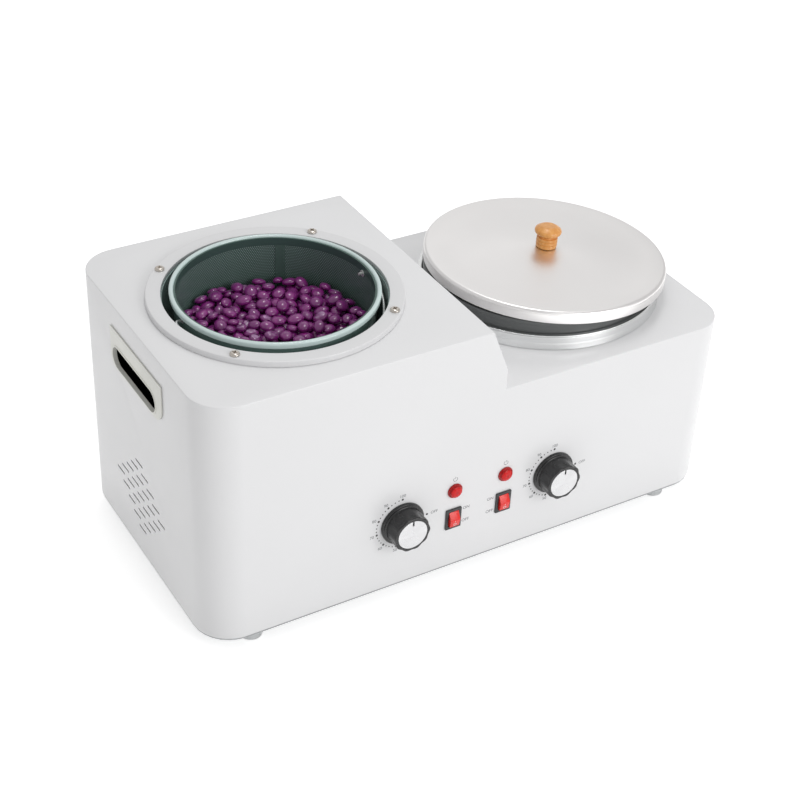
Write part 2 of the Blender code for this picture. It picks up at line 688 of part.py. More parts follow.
def make_grips():
    """Each grip is a flange outside the wall and a neck through it, round one oblong slot."""
    for (side, sign), x in zip(sides(), (LEFT_X, RIGHT_X)):
        z = grip_centre_z(side)
        y = MID_Y + GRIP_BACK_SHIFT
        centre = (GRIP_SLOT_BACK, -GRIP_SLOT_DROP)
        slot = rectangle(GRIP_SLOT_WIDTH, GRIP_SLOT_HEIGHT, GRIP_SLOT_HEIGHT / 2, centre)
        face = rounded([
            (-GRIP_WIDTH / 2, -GRIP_HEIGHT / 2, GRIP_FRONT_CORNER),
            (GRIP_WIDTH / 2, -GRIP_HEIGHT / 2, GRIP_REAR_CORNER),
            (GRIP_WIDTH / 2, GRIP_HEIGHT / 2, GRIP_TOP_CORNER),
            (-GRIP_WIDTH / 2, GRIP_HEIGHT / 2, GRIP_TOP_CORNER),
        ])
        size = grip_neck_size()
        neck = rectangle(*size, size[1] / 2, centre)
        outer = x + sign * (GAP + GRIP_FLANGE / 2)
        grip = slab(f"grip_frame_{side}", [face], GRIP_FLANGE, BEIGE_PLASTIC, (outer, y, z), FACING_SIDE)
        soften(grip, GRIP_FLANGE / 3, 2)
        length = GRIP_NECK_DEPTH + GRIP_FLANGE / 2
        middle = outer - sign * length / 2
        join(grip, slab(f"Grip neck {side}", [neck], length, None, (middle, y, z), FACING_SIDE))
        length = 2 * (GRIP_NECK_DEPTH + GRIP_FLANGE + OVERRUN)
        cut(grip, slab(f"Grip slot {side}", [slot], length, None, (x, y, z), FACING_SIDE))


def vessel(name, inner, wall, floor_z, top_z, lip_radius, lip, surface, place):
    """An open vessel with a rounded floor, hung by a flat lip."""
    under = top_z - lip
    profile = [
        (0, floor_z, 0),
        (inner, floor_z, VESSEL_FLOOR_ROUND),
        (inner, top_z, 0),
        (lip_radius, top_z, lip / 2),
        (lip_radius, under, 0),
        (inner + wall, under, 0),
        (inner + wall, floor_z - wall, VESSEL_FLOOR_ROUND + wall),
        (0, floor_z - wall, 0),
    ]
    return turned(name, profile, surface, place)


def make_left_station():
    place = (LEFT_POT_X, MID_Y, 0)
    lip_top = TALL_Z + GAP + TANK_LIP
    tank = vessel("left_tank", TANK_RADIUS, TANK_WALL, TANK_FLOOR_Z, lip_top, TANK_LIP_RADIUS, TANK_LIP,
                  DARK_TANK, place)
    recess = TANK_LIP_RADIUS + GAP
    profile = [
        (RING_INNER, RING_TOP_Z, RING_ROUND / 2),
        (RING_OUTER, RING_TOP_Z, RING_ROUND),
        (RING_OUTER, TALL_Z + GAP, 0),
        (recess, TALL_Z + GAP, 0),
        (recess, RING_SEAT_Z, 0),
        (RING_INNER, RING_SEAT_Z, 0),
    ]
    ring = turned("left_flange_ring", profile, WHITE_PAINT, place, ring=True)
    holes = [circle(RING_SCREW_SHANK + GAP, (x, y), HOLE_STEPS) for _, x, y in ring_screw_places()]
    height = RING_HEIGHT + 2 * OVERRUN
    cut(tank, slab("Tank lip holes", holes, height, None, (0, 0, TALL_Z)))
    cut(ring, slab("Ring holes", holes, height, None, (0, 0, TALL_Z + RING_HEIGHT / 2)))
    for index, x, y in ring_screw_places():
        screw(f"ring_screw_{index}", RING_SCREW_HEAD, RING_SCREW_SHANK, RING_HEIGHT + RING_SCREW_REACH,
              NICKEL, (x, y, RING_TOP_Z + GAP))


def make_basket():
    place = (LEFT_POT_X, MID_Y, 0)
    profile = [
        (BASKET_RIM_INNER, RIM_TOP_Z, BASKET_RIM_ROUND),
        (BASKET_RIM_OUTER, RIM_TOP_Z, BASKET_RIM_ROUND),
        (BASKET_RIM_OUTER, RIM_BASE_Z, BASKET_RIM_ROUND / 2),
        (BASKET_RIM_INNER, RIM_BASE_Z, 0),
    ]
    turned("basket_rim", profile, PALE_TEAL, place, ring=True)
    inner = BASKET_OUTER - BASKET_WALL
    top = RIM_TOP_Z - BASKET_RIM_ROUND
    profile = [
        (0, BASKET_FLOOR_Z + BASKET_WALL, 0),
        (inner, BASKET_FLOOR_Z + BASKET_WALL, BASKET_FLOOR_ROUND),
        (inner, top, 0),
        (BASKET_OUTER, top, 0),
        (BASKET_OUTER, BASKET_FLOOR_Z, BASKET_FLOOR_ROUND + BASKET_WALL),
        (0, BASKET_FLOOR_Z, 0),
    ]
    cup = turned("basket_cup", profile, TEAL_MESH, place)
    pivot = Vector((LEFT_POT_X, MID_Y, BAIL_PIVOT_Z))
    along = Vector((math.cos(BAIL_AZIMUTH), math.sin(BAIL_AZIMUTH), 0))
    lying = (0, math.pi / 2, BAIL_AZIMUTH)
    hole = BAIL_WIRE / 2 + GAP
    sleeve = hole + (EYELET_RADIUS - hole) / 2
    start = pivot - along * BASKET_RIM_OUTER
    cut(cup, rod("Eyelet bore", sleeve + GAP, 2 * BASKET_RIM_OUTER, None, start, lying))
    outside = BASKET_OUTER + GAP
    inside = inner - GAP - EYELET_FLANGE
    for side, turn in (("right", BAIL_AZIMUTH), ("left", BAIL_AZIMUTH + math.pi)):
        profile = [
            (hole, outside + EYELET_FLANGE, 0),
            (EYELET_RADIUS, outside + EYELET_FLANGE, 0),
            (EYELET_RADIUS, outside, 0),
            (sleeve, outside, 0),
            (sleeve, inside, 0),
            (hole, inside, 0),
        ]
        turned(f"bail_eyelet_{side}", profile, BRIGHT_WIRE, pivot, (0, math.pi / 2, turn), SMALL_STEPS, True)
    tube("basket_bail", bail_points(inside - BAIL_STUB), BAIL_WIRE / 2, BRIGHT_WIRE, pivot,
         (BAIL_REST_TILT, 0, BAIL_AZIMUTH))


def bail_points(stub_end):
    """Half the hoop's wire, mirrored: stub on the pivot axis, a tight bend, then the half round."""
    half = [Vector((stub_end, 0, 0))]
    for step in range(CORNER_STEPS + 1):
        angle = math.pi / 2 * (1 - step / CORNER_STEPS)
        reach = BAIL_BEND * math.cos(angle)
        half.append(Vector((BAIL_RADIUS - BAIL_BEND + reach, BAIL_BEND * (math.sin(angle) - 1), 0)))
    steps = ROUND_STEPS // 4
    for step in range(1, steps + 1):
        angle = math.pi / 2 * step / steps
        reach = (BAIL_RADIUS - BAIL_BEND) * math.sin(angle)
        half.append(Vector((BAIL_RADIUS * math.cos(angle), -BAIL_BEND - reach, 0)))
    return half + [Vector((-point.x, point.y, 0)) for point in reversed(half[:-1])]


def make_right_station():
    place = (RIGHT_POT_X, MID_Y, 0)
    inner = WELL_OUTER + GAP
    profile = [
        (inner, COLLAR_TOP_Z, 0),
        (COLLAR_TOP_RADIUS, COLLAR_TOP_Z, 0),
        (COLLAR_TOP_RADIUS, COLLAR_TOP_Z - COLLAR_HEIGHT / 2, COLLAR_HEIGHT / 4),
        (COLLAR_BASE_RADIUS, LOW_Z + GAP, 0),
        (inner, LOW_Z + GAP, 0),
    ]
    turned("right_collar", profile, ALUMINIUM, place, ring=True)
    vessel("right_well", WELL_RADIUS, WELL_WALL, WELL_FLOOR_Z, WELL_TOP_Z, COLLAR_TOP_RADIUS, WELL_LIP,
           ALUMINIUM, place)
    inside = POT_RADIUS - POT_WALL
    lip = POT_RIM_Z - POT_RIM_DEPTH
    profile = [
        (0, POT_BASE_Z + POT_WALL, 0),
        (inside, POT_BASE_Z + POT_WALL, VESSEL_FLOOR_ROUND),
        (inside, lip, 0),
        (POT_RIM_INNER, lip, 0),
        (POT_RIM_INNER, POT_RIM_Z, POT_WALL / 2),
        (POT_RIM_OUTER, POT_RIM_Z, POT_RIM_ROUND),
        (POT_RIM_OUTER, lip, 0),
        (POT_RADIUS, lip, 0),
        (POT_RADIUS, POT_BASE_Z, VESSEL_FLOOR_ROUND + POT_WALL),
        (0, POT_BASE_Z, 0),
    ]
    turned("inner_pot", profile, POT_GREY, place)
    make_lid()


def lid_rest():
    """Tilt and height of the slipped lid: its skirt crosses the rim's flat at two places and stands
    on it there, and its underside lies on the rim at the side it has slipped to."""
    skirt = LID_RADIUS - LID_SHEET
    edge = POT_RIM_OUTER - POT_RIM_ROUND
    crossing = (skirt**2 + LID_SLIP**2 - edge**2) / (2 * LID_SLIP)
    tilt = math.atan2(LID_DEPTH - LID_SHEET, edge - LID_SLIP + crossing)
    rise = (edge - LID_SLIP) * math.sin(tilt) + LID_SHEET * math.cos(tilt)
    return tilt, POT_RIM_Z + 2 * GAP + rise


def lid_crown(radius):
    """Height of the lid's shallow dome, which fades into a flat seat near the edge."""
    share = min(1, radius / LID_CROWN_RADIUS)
    return LID_CROWN * (1 - share**2) ** 2


def make_lid():
    tilt, centre_z = lid_rest()
    slip = Vector((math.cos(LID_SLIP_AZIMUTH), math.sin(LID_SLIP_AZIMUTH), 0)) * LID_SLIP
    pose = bpy.data.objects.new("Lid pose", None)
    parts.objects.link(pose)
    pose.location = Vector((RIGHT_POT_X, MID_Y, centre_z)) + slip
    pose.rotation_euler = (0, tilt, LID_SLIP_AZIMUTH)
    hole = LID_SCREW_SHANK + GAP
    inner = LID_RADIUS - LID_SHEET
    rings = [hole + (LID_CROWN_RADIUS - hole) * step / LID_CROWN_STEPS for step in range(LID_CROWN_STEPS + 1)]
    profile = [(radius, lid_crown(radius), 0) for radius in rings]
    profile += [
        (LID_RADIUS, 0, LID_ROUND),
        (LID_RADIUS, -LID_DEPTH, 0),
        (inner, -LID_DEPTH, 0),
        (inner, -LID_SHEET, LID_ROUND - LID_SHEET),
    ]
    profile += [(radius, lid_crown(radius) - LID_SHEET, 0) for radius in reversed(rings)]
    turned("lid", profile, ALUMINIUM, ring=True).parent = pose
    knob = turned("lid_knob", lid_knob_profile(), WOOD, (0, 0, LID_CROWN + GAP), steps=MEDIUM_STEPS)
    bore = rod("Lid knob bore", LID_SCREW_SHANK + GAP, LID_SCREW_BITE + OVERRUN, None,
               (0, 0, LID_CROWN - OVERRUN), steps=HOLE_STEPS)
    cut(knob, bore)
    fastener = screw("lid_screw", LID_SCREW_HEAD, LID_SCREW_SHANK, LID_SHEET + LID_SCREW_BITE - GAP, NICKEL,
                     (0, 0, LID_CROWN - LID_SHEET - GAP), (math.pi, 0, 0))
    for piece in (knob, bore, fastener):
        piece.parent = pose


def lid_knob_profile():
    """A ball head over a waist, a ringed base and a foot, from the top down."""
    profile = [(0, LID_KNOB_HEIGHT, 0)]
    profile += [(LID_KNOB_HEAD * out, LID_KNOB_HEIGHT * up, 0) for out, up in LID_KNOB_HEAD_SHARES]
    profile.append((LID_KNOB_WAIST, LID_KNOB_HEIGHT * LID_KNOB_WAIST_SHARE, 0))
    profile += [(LID_KNOB_BASE * out, LID_KNOB_HEIGHT * up, 0) for out, up in LID_KNOB_BASE_SHARES]
    return profile + [(0, 0, 0)]


def make_heaters():
    """A plate with its bolt under each vessel and an insulating sleeve round it."""
    left = ("left", LEFT_POT_X, TANK_OUTER, TANK_FLOOR_Z - TANK_WALL, LEFT_PLATE_RADIUS, LEFT_SLEEVE)
    right = ("right", RIGHT_POT_X, WELL_OUTER, WELL_FLOOR_Z - WELL_WALL, RIGHT_PLATE_RADIUS, RIGHT_SLEEVE)
    for (side, x, outer, floor_z, radius, sleeve), deck in ((left, TALL_Z), (right, LOW_Z)):
        top = floor_z - GAP
        hole = PLATE_BOLT_SHANK + GAP
        profile = [(hole, top, 0), (radius, top, 0), (radius, top - PLATE_THICKNESS, 0)]
        profile.append((hole, top - PLATE_THICKNESS, 0))
        turned(f"{side}_heater_plate", profile, GREY_SHEET, (x, MID_Y, 0), steps=MEDIUM_STEPS, ring=True)
        screw(f"{side}_heater_bolt", PLATE_BOLT_HEAD, PLATE_BOLT_SHANK, PLATE_THICKNESS,
              NICKEL, (x, MID_Y, top - PLATE_THICKNESS - GAP), (math.pi, 0, 0))
        bulb_top = bulb_base_z(side) + BULB_LENGTH + GAP
        sleeve_top = deck - SHEET - SLEEVE_TOP_DROP
        inner = outer + GAP
        profile = [(inner, sleeve_top, 0), (inner + sleeve, sleeve_top, 0)]
        profile += [(inner + sleeve, bulb_top, 0), (inner, bulb_top, 0)]
        turned(f"{side}_insulation_sleeve", profile, GLASS_WOOL, (x, MID_Y, 0), ring=True)


def bulb_base_z(side):
    """The bulb stands against its vessel's wall, above the rounding of the vessel's floor."""
    floor_z = TANK_FLOOR_Z if side == "left" else WELL_FLOOR_Z
    return floor_z + VESSEL_FLOOR_ROUND


def make_dials():
    for side, sign in sides():
        x = CONTROL_X + sign * DIAL_SPREAD
        axis = (math.pi / 2, 0, 0)
        make_knob(side, x, axis)
        knob_bore_end = FRONT_Y - GAP - SHAFT_IN_KNOB
        shaft_end = PANEL_BACK_Y + GAP + SHAFT_IN_THERMOSTAT - GAP
        shaft_length = shaft_end - knob_bore_end
        rod(f"{side}_dial_shaft", SHAFT_RADIUS, shaft_length, NICKEL, (x, shaft_end, DIAL_Z), axis)
        body = block(f"{side}_thermostat", (THERMOSTAT_WIDTH, THERMOSTAT_DEPTH, THERMOSTAT_HEIGHT),
                     BEIGE_PLASTIC, (x, PANEL_BACK_Y + GAP + THERMOSTAT_DEPTH / 2, DIAL_Z), BLOCK_BEVEL)
        bush = rod(f"Bush {side}", BUSH_RADIUS, SHEET + 2 * GAP + OVERRUN, None,
                   (x, PANEL_BACK_Y + GAP + OVERRUN, DIAL_Z), axis)
        join(body, bush)
        bore = rod(f"Shaft bore {side}", SHAFT_RADIUS + GAP, SHAFT_IN_THERMOSTAT + SHEET + OVERRUN, None,
                   (x, PANEL_BACK_Y + GAP + SHAFT_IN_THERMOSTAT, DIAL_Z), axis)
        cut(body, bore)
        make_bulb(side, sign, x)


def make_knob(side, x, axis):
    """A skirt turned with a fluted grip on it, a recess for the cap and a blind bore for the shaft."""
    face = KNOB_REACH - CAP_PROUD
    skirt_profile = [(0, KNOB_SKIRT_DEPTH, 0), (KNOB_SKIRT_RADIUS, KNOB_SKIRT_DEPTH, KNOB_ROUND)]
    skirt_profile += [(KNOB_SKIRT_RADIUS, 0, 0), (0, 0, 0)]
    place = (x, FRONT_Y - GAP, DIAL_Z)
    knob = turned(f"{side}_dial_knob", skirt_profile, BLACK_PLASTIC, place, axis, MEDIUM_STEPS)
    steps = KNOB_FLUTES * FLUTE_STEPS
    outline = []
    for k in range(steps):
        angle = 2 * math.pi * k / steps
        radius = KNOB_RADIUS - KNOB_FLUTE_DEPTH * (1 - math.cos(KNOB_FLUTES * angle)) / 2
        outline.append((radius * math.cos(angle), radius * math.sin(angle)))
    length = face - GAP - KNOB_SKIRT_DEPTH / 2
    grip = slab(f"Knob grip {side}", [outline], length, None,
                (x, FRONT_Y - GAP - KNOB_SKIRT_DEPTH / 2 - length / 2, DIAL_Z), axis)
    soften(grip, KNOB_ROUND)
    join(knob, grip)
    seat = FRONT_Y - KNOB_REACH + CAP_THICKNESS + GAP
    recess = rod(f"Cap recess {side}", CAP_RADIUS + GAP, OVERRUN, None, (x, seat, DIAL_Z), axis, MEDIUM_STEPS)
    cut(knob, recess)
    cut(knob, rod(f"Knob bore {side}", SHAFT_RADIUS + GAP, SHAFT_IN_KNOB + GAP + OVERRUN, None,
                  (x, FRONT_Y + OVERRUN, DIAL_Z), axis))
    cap = rod(f"{side}_dial_cap", CAP_RADIUS, CAP_THICKNESS, ALUMINIUM,
              (x, KNOB_FACE_Y + CAP_THICKNESS, DIAL_Z), axis, MEDIUM_STEPS)
    notch = block(f"Pointer slot {side}", (POINTER_WIDTH, 2 * OVERRUN, 2 * POINTER_LENGTH), None,
                  (x, KNOB_FACE_Y, DIAL_Z + CAP_RADIUS))
    cut(cap, notch)


def make_bulb(side, sign, x):
    """A capillary from the thermostat's inner side that swells into the bulb beside the vessel."""
    if side == "left":
        centre_x, wall = LEFT_POT_X, TANK_OUTER
    else:
        centre_x, wall = RIGHT_POT_X, WELL_OUTER
    away = wall + GAP + BULB_RADIUS
    bulb_x = centre_x - sign * away * math.cos(BULB_AZIMUTH)
    foot = Vector((bulb_x, MID_Y - away * math.sin(BULB_AZIMUTH), bulb_base_z(side)))
    start_x = x - sign * (THERMOSTAT_WIDTH / 2 + GAP)
    start = Vector((start_x, PANEL_BACK_Y + GAP + THERMOSTAT_DEPTH / 2, DIAL_Z))
    out = start - Vector((sign * CAPILLARY_LOOP, 0, 0))
    below = foot - Vector((0, 0, CAPILLARY_LOOP))
    path = smooth_points([start, out, below, foot], LEAD_STEPS)
    swell = [1] * (len(path) + 1)
    path.append(foot + Vector((0, 0, BULB_RADIUS)))
    top = foot + Vector((0, 0, BULB_LENGTH))
    path += [top - Vector((0, 0, BULB_RADIUS / 2)), top]
    fat = BULB_RADIUS / CAPILLARY_RADIUS
    swell[-1] = fat
    swell += [fat, fat / 2]
    tube(f"{side}_sensing_bulb", path, CAPILLARY_RADIUS, COPPER, swell=swell)


def switch_body_size():
    return (BEZEL_WIDTH - 2 * SWITCH_BODY_MARGIN, BEZEL_HEIGHT - 2 * SWITCH_BODY_MARGIN)


def make_switches():
    pocket_width = BEZEL_WIDTH - 2 * ROCKER_POCKET_MARGIN
    pocket_height = BEZEL_HEIGHT - 2 * ROCKER_POCKET_MARGIN
    bezel_y = FRONT_Y - GAP - BEZEL_THICKNESS
    pivot_y = bezel_y + ROCKER_PIVOT_DEPTH
    for side, sign in sides():
        x = CONTROL_X + sign * SWITCH_SPREAD
        outline = rectangle(BEZEL_WIDTH, BEZEL_HEIGHT, BEZEL_CORNER, steps=2)
        housing = slab(f"{side}_switch_housing", [outline], BEZEL_THICKNESS, BLACK_PLASTIC,
                       (x, bezel_y + BEZEL_THICKNESS / 2, SWITCH_Z), FACING_FRONT)
        soften(housing, BEZEL_CORNER / 2)
        width, height = switch_body_size()
        depth = SWITCH_BODY_DEPTH + BEZEL_THICKNESS / 2
        join(housing, block(f"Switch body {side}", (width, depth, height), None,
                            (x, bezel_y + BEZEL_THICKNESS / 2 + depth / 2, SWITCH_Z)))
        cut(housing, block(f"Rocker pocket {side}", (pocket_width, 2 * ROCKER_POCKET_DEPTH, pocket_height),
                           None, (x, bezel_y, SWITCH_Z)))
        hole_length = pocket_width + 2 * (ROCKER_PIN_LENGTH + GAP)
        cut(housing, rod(f"Pin holes {side}", ROCKER_PIN_RADIUS + GAP, hole_length, None,
                         (x - hole_length / 2, pivot_y, SWITCH_Z), (0, math.pi / 2, 0), HOLE_STEPS))
        make_rocker(side, Vector((x, pivot_y, SWITCH_Z)), pocket_width, pocket_height)


def make_rocker(side, pivot, pocket_width, pocket_height):
    """A ridge-backed key on two pins. It rests with its upper half pressed in."""
    half = pocket_height / 2 - ROCKER_SIDE_CLEARANCE
    front = ROCKER_PIVOT_DEPTH
    outline = [
        (-front - ROCKER_RIDGE_REACH, 0),
        (-front - ROCKER_END_REACH, half),
        (ROCKER_BACK_REACH - front, half * ROCKER_BACK_SHARE),
        (ROCKER_BACK_REACH, 0),
        (ROCKER_BACK_REACH - front, -half * ROCKER_BACK_SHARE),
        (-front - ROCKER_END_REACH, -half),
    ]
    width = pocket_width - 2 * ROCKER_SIDE_CLEARANCE
    key = slab(f"{side}_rocker", [outline], width, RED_PLASTIC, pivot, FACING_SIDE)
    soften(key, BEZEL_CORNER / 2)
    length = width + 2 * (ROCKER_SIDE_CLEARANCE + ROCKER_PIN_LENGTH)
    pins = rod(f"Rocker pins {side}", ROCKER_PIN_RADIUS, length, None, (0, 0, -length / 2), steps=HOLE_STEPS)
    pins.parent = key
    join(key, pins)
    tilt = Matrix.Rotation(-ROCKER_TILT, 3, "X") @ key.rotation_euler.to_matrix()
    key.rotation_euler = tilt.to_euler()


def make_lamps():
    for side, sign in sides():
        place = (CONTROL_X + sign * LAMP_SPREAD, FRONT_Y - GAP, LAMP_Z)
        top = LAMP_FLANGE + LAMP_DOME
        profile = [
            (0, top, 0),
            (LAMP_TOP_RADIUS, top, 0),
            (LAMP_SHOULDER_RADIUS, top - LAMP_SHOULDER_DROP, 0),
            (LAMP_DOME_RADIUS, LAMP_FLANGE, 0),
            (LAMP_RADIUS, LAMP_FLANGE, 0),
            (LAMP_RADIUS, 0, 0),
            (0, 0, 0),
        ]
        turned(f"{side}_lamp_lens", profile, RED_LENS, place, (math.pi / 2, 0, 0), MEDIUM_STEPS)
        nut = SHEET + 2 * GAP
        profile = [
            (0, 0, 0),
            (LAMP_BODY_RADIUS, 0, 0),
            (LAMP_BODY_RADIUS, -nut, 0),
            (LAMP_NUT_RADIUS, -nut, 0),
            (LAMP_NUT_RADIUS, -nut - LAMP_NUT_THICKNESS, 0),
            (LAMP_BODY_RADIUS, -nut - LAMP_NUT_THICKNESS, 0),
            (LAMP_BODY_RADIUS, -LAMP_BODY_LENGTH, 0),
            (0, -LAMP_BODY_LENGTH, 0),
        ]
        place = (place[0], FRONT_Y, LAMP_Z)
        turned(f"{side}_lamp_body", profile, BLACK_PLASTIC, place, (math.pi / 2, 0, 0), SMALL_STEPS)


def make_inlet():
    outline = rectangle(INLET_WIDTH, INLET_HEIGHT, INLET_CORNER)
    thickness = INLET_REACH - GAP
    inlet = slab("mains_inlet", [outline], thickness, BLACK_PLASTIC,
                 (0, BACK_Y + GAP + thickness / 2, INLET_CENTRE_Z), FACING_FRONT)
    soften(inlet, INLET_CORNER / 4)
    depth = INLET_BODY_DEPTH + thickness / 2
    join(inlet, block("Inlet body", (INLET_BODY_WIDTH, depth, INLET_BODY_HEIGHT), None,
                      (0, BACK_Y + GAP + thickness / 2 - depth / 2, INLET_CENTRE_Z)))
    socket = rectangle(SOCKET_WIDTH, SOCKET_HEIGHT, SOCKET_CORNER)
    cut(inlet, slab("Socket", [socket], 2 * SOCKET_DEPTH, None, (0, INLET_FACE_Y, INLET_CENTRE_Z),
                    FACING_FRONT))
    tail_y = BACK_Y - INLET_BODY_DEPTH - PIN_TAIL
    tip_y = INLET_FACE_Y - PIN_TIP_DEPTH
    for name, x, rise in pin_places():
        size = (PIN_WIDTH, tip_y - tail_y, PIN_HEIGHT)
        middle = (x, (tip_y + tail_y) / 2, INLET_CENTRE_Z + rise)
        block(f"inlet_pin_{name}", size, BRASS, middle)
        hole = (PIN_WIDTH + 2 * GAP, 2 * (tip_y - tail_y), PIN_HEIGHT + 2 * GAP)
        cut(inlet, block(f"Pin slot {name}", hole, None, middle))


def pin_places():
    return (("live", -PIN_SPREAD, -PIN_RISE), ("neutral", PIN_SPREAD, -PIN_RISE), ("earth", 0, PIN_RISE))


def make_wiring():
    """Terminal block on the base plate, and a lead from it to each heater plate."""
    block_y = BACK_Y - BLOCK_BACK
    middle = Vector((0, block_y, BASE_Z + BLOCK_HEIGHT / 2))
    block("terminal_block", (BLOCK_WIDTH, BLOCK_DEPTH, BLOCK_HEIGHT), BEIGE_PLASTIC, middle, BLOCK_BEVEL)
    stations = (
        ("left", -1, LEFT_POT_X, TANK_FLOOR_Z - TANK_WALL, LEFT_PLATE_RADIUS),
        ("right", 1, RIGHT_POT_X, WELL_FLOOR_Z - WELL_WALL, RIGHT_PLATE_RADIUS),
    )
    for side, sign, x, floor_z, radius in stations:
        plate = floor_z - 2 * GAP - PLATE_THICKNESS
        start = middle + Vector((sign * (BLOCK_WIDTH / 2 + GAP), 0, 0))
        end = Vector((x - sign * radius / 2, MID_Y, plate))
        out = start + Vector((sign * BLOCK_HEIGHT, 0, 0))
        below = end - Vector((0, 0, BLOCK_HEIGHT / 2))
        path = smooth_points([start, out, (out + below) / 2, below], LEAD_STEPS) + [end]
        tube(f"{side}_heater_lead", path, LEAD_RADIUS, LEAD_SKIN)


make_casing()
make_base()
make_grips()
make_left_station()
make_basket()
make_right_station()
make_heaters()
make_dials()
make_switches()
make_lamps()
make_inlet()
make_wiring()
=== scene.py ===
"""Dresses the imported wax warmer: finer surfaces over the CAD frame, materials, light and camera.

Metres, in the frame of the part: +X right, the front with its controls faces -Y, +Z up.
"""

import json
import math

import bmesh
import bpy
import numpy
from mathutils import Euler, Matrix, Vector


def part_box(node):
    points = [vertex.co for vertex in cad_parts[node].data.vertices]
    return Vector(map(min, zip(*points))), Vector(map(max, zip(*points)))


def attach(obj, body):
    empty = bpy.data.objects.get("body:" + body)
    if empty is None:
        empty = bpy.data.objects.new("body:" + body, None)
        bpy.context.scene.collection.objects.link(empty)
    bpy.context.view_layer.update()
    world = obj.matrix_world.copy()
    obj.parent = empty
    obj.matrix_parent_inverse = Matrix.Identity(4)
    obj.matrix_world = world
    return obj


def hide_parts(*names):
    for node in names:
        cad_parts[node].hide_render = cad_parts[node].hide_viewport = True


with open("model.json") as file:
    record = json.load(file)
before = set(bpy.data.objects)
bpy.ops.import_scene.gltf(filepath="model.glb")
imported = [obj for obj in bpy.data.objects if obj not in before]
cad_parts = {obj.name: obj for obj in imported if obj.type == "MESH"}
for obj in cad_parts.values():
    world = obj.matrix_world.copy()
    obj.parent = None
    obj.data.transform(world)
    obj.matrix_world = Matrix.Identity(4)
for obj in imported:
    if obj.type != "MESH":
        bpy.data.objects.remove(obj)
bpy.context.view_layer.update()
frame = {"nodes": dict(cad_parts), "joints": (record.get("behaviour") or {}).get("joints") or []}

# Camera of the photograph
CAMERA_PLACE = (-0.6641, -1.0449, 0.9732)
CAMERA_TURN = (math.radians(54.972), math.radians(-2.403), math.radians(-30.359))
CAMERA_LENS = 75.45
SENSOR_WIDTH = 36.0

# Smoothness
ROUND_STEPS = 144
MEDIUM_STEPS = 72
SMALL_STEPS = 32
ARC_STEPS = 6
KNOB_ARC_STEPS = 8
SOFT_SEGMENTS = 3
SHARP_ANGLE = math.radians(32)
MERGE = 0.000005
SKIN = 0.00004

# Turns that stand an outline up: its own X and Y become world X and Z, or world Y and Z
FLAT = (0, 0, 0)
FACING_FRONT = (math.pi / 2, 0, 0)
FACING_SIDE = (math.pi / 2, 0, math.pi / 2)


def middle(node):
    low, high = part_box(node)
    return (Vector(low) + Vector(high)) / 2


def span(node):
    low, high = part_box(node)
    return Vector(high) - Vector(low)


def reach(node):
    """Half the width of a round node."""
    low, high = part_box(node)
    return (high[0] - low[0]) / 2


def low_z(node):
    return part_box(node)[0][2]


def high_z(node):
    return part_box(node)[1][2]


# Places taken from the frame
CASING_LOW, CASING_HIGH = (Vector(corner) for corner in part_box("outer_casing"))
FRONT_Y = CASING_LOW.y
BACK_Y = CASING_HIGH.y
LEFT_X = CASING_LOW.x
RIGHT_X = CASING_HIGH.x
BASE_Z = CASING_LOW.z
TALL_Z = CASING_HIGH.z
LOW_Z = low_z("right_collar")
MID_Y = (FRONT_Y + BACK_Y) / 2
LEFT_POT = Vector((middle("left_tank").x, MID_Y, 0))
RIGHT_POT = Vector((middle("right_well").x, MID_Y, 0))

# Casing
SHEET = 0.0012
SHADE_DEPTH_SHARE = 0.9
CORNER_RADIUS = 0.0335
CORNER_STEPS = 20
EDGE_ROUND = 0.0009
STEP_TOP_X = 0.0005
STEP_FOOT_X = 0.0173
STEP_SLANT_DROP = 0.041
CLEARANCE = 0.0003
OVERRUN = 0.004
BASE_FLANGE = 0.030
BUSH_HOLE = 0.0048
LAMP_HOLE = 0.0053
INLET_MARGIN = 0.0038
INLET_BODY_DROP = 0.0045
LEFT_SLEEVE = 0.0040
RIGHT_SLEEVE = 0.0030
VENT_LENGTH = 0.0150
VENT_HEIGHT = 0.0022
VENT_ROUND_SHARE = 0.49
VENT_SIDE_COUNT = 5
VENT_STEP_Y = 0.01065
VENT_STEP_Z = 0.0089
VENT_CENTRE_Z = 0.0638
VENT_BACK_SHIFT = 0.0055

# Grips and feet
SIDES = (("left", -1), ("right", 1))
CORNERS = ("front_left", "rear_left", "front_right", "rear_right")
GRIP_SLOT = (0.086, 0.020)
NECK_SIZE = (0.0884, 0.0224)
GRIP_SLOT_BACK = 0.00375
GRIP_SLOT_DROP = 0.00665
GRIP_FLANGE = 0.001
GRIP_TOP_CORNER = 0.001
GRIP_FRONT_CORNER = 0.015
GRIP_REAR_CORNER = 0.008
GRIP_LIP_RISE = 0.0005
GRIP_NECK = 0.0032
FOOT_HOLE = 0.0021
FOOT_RECESS_RADIUS = 0.0052
FOOT_RECESS_SHARE = 0.55
FOOT_ROUND = 0.0030
FOOT_DRAFT = 0.0008

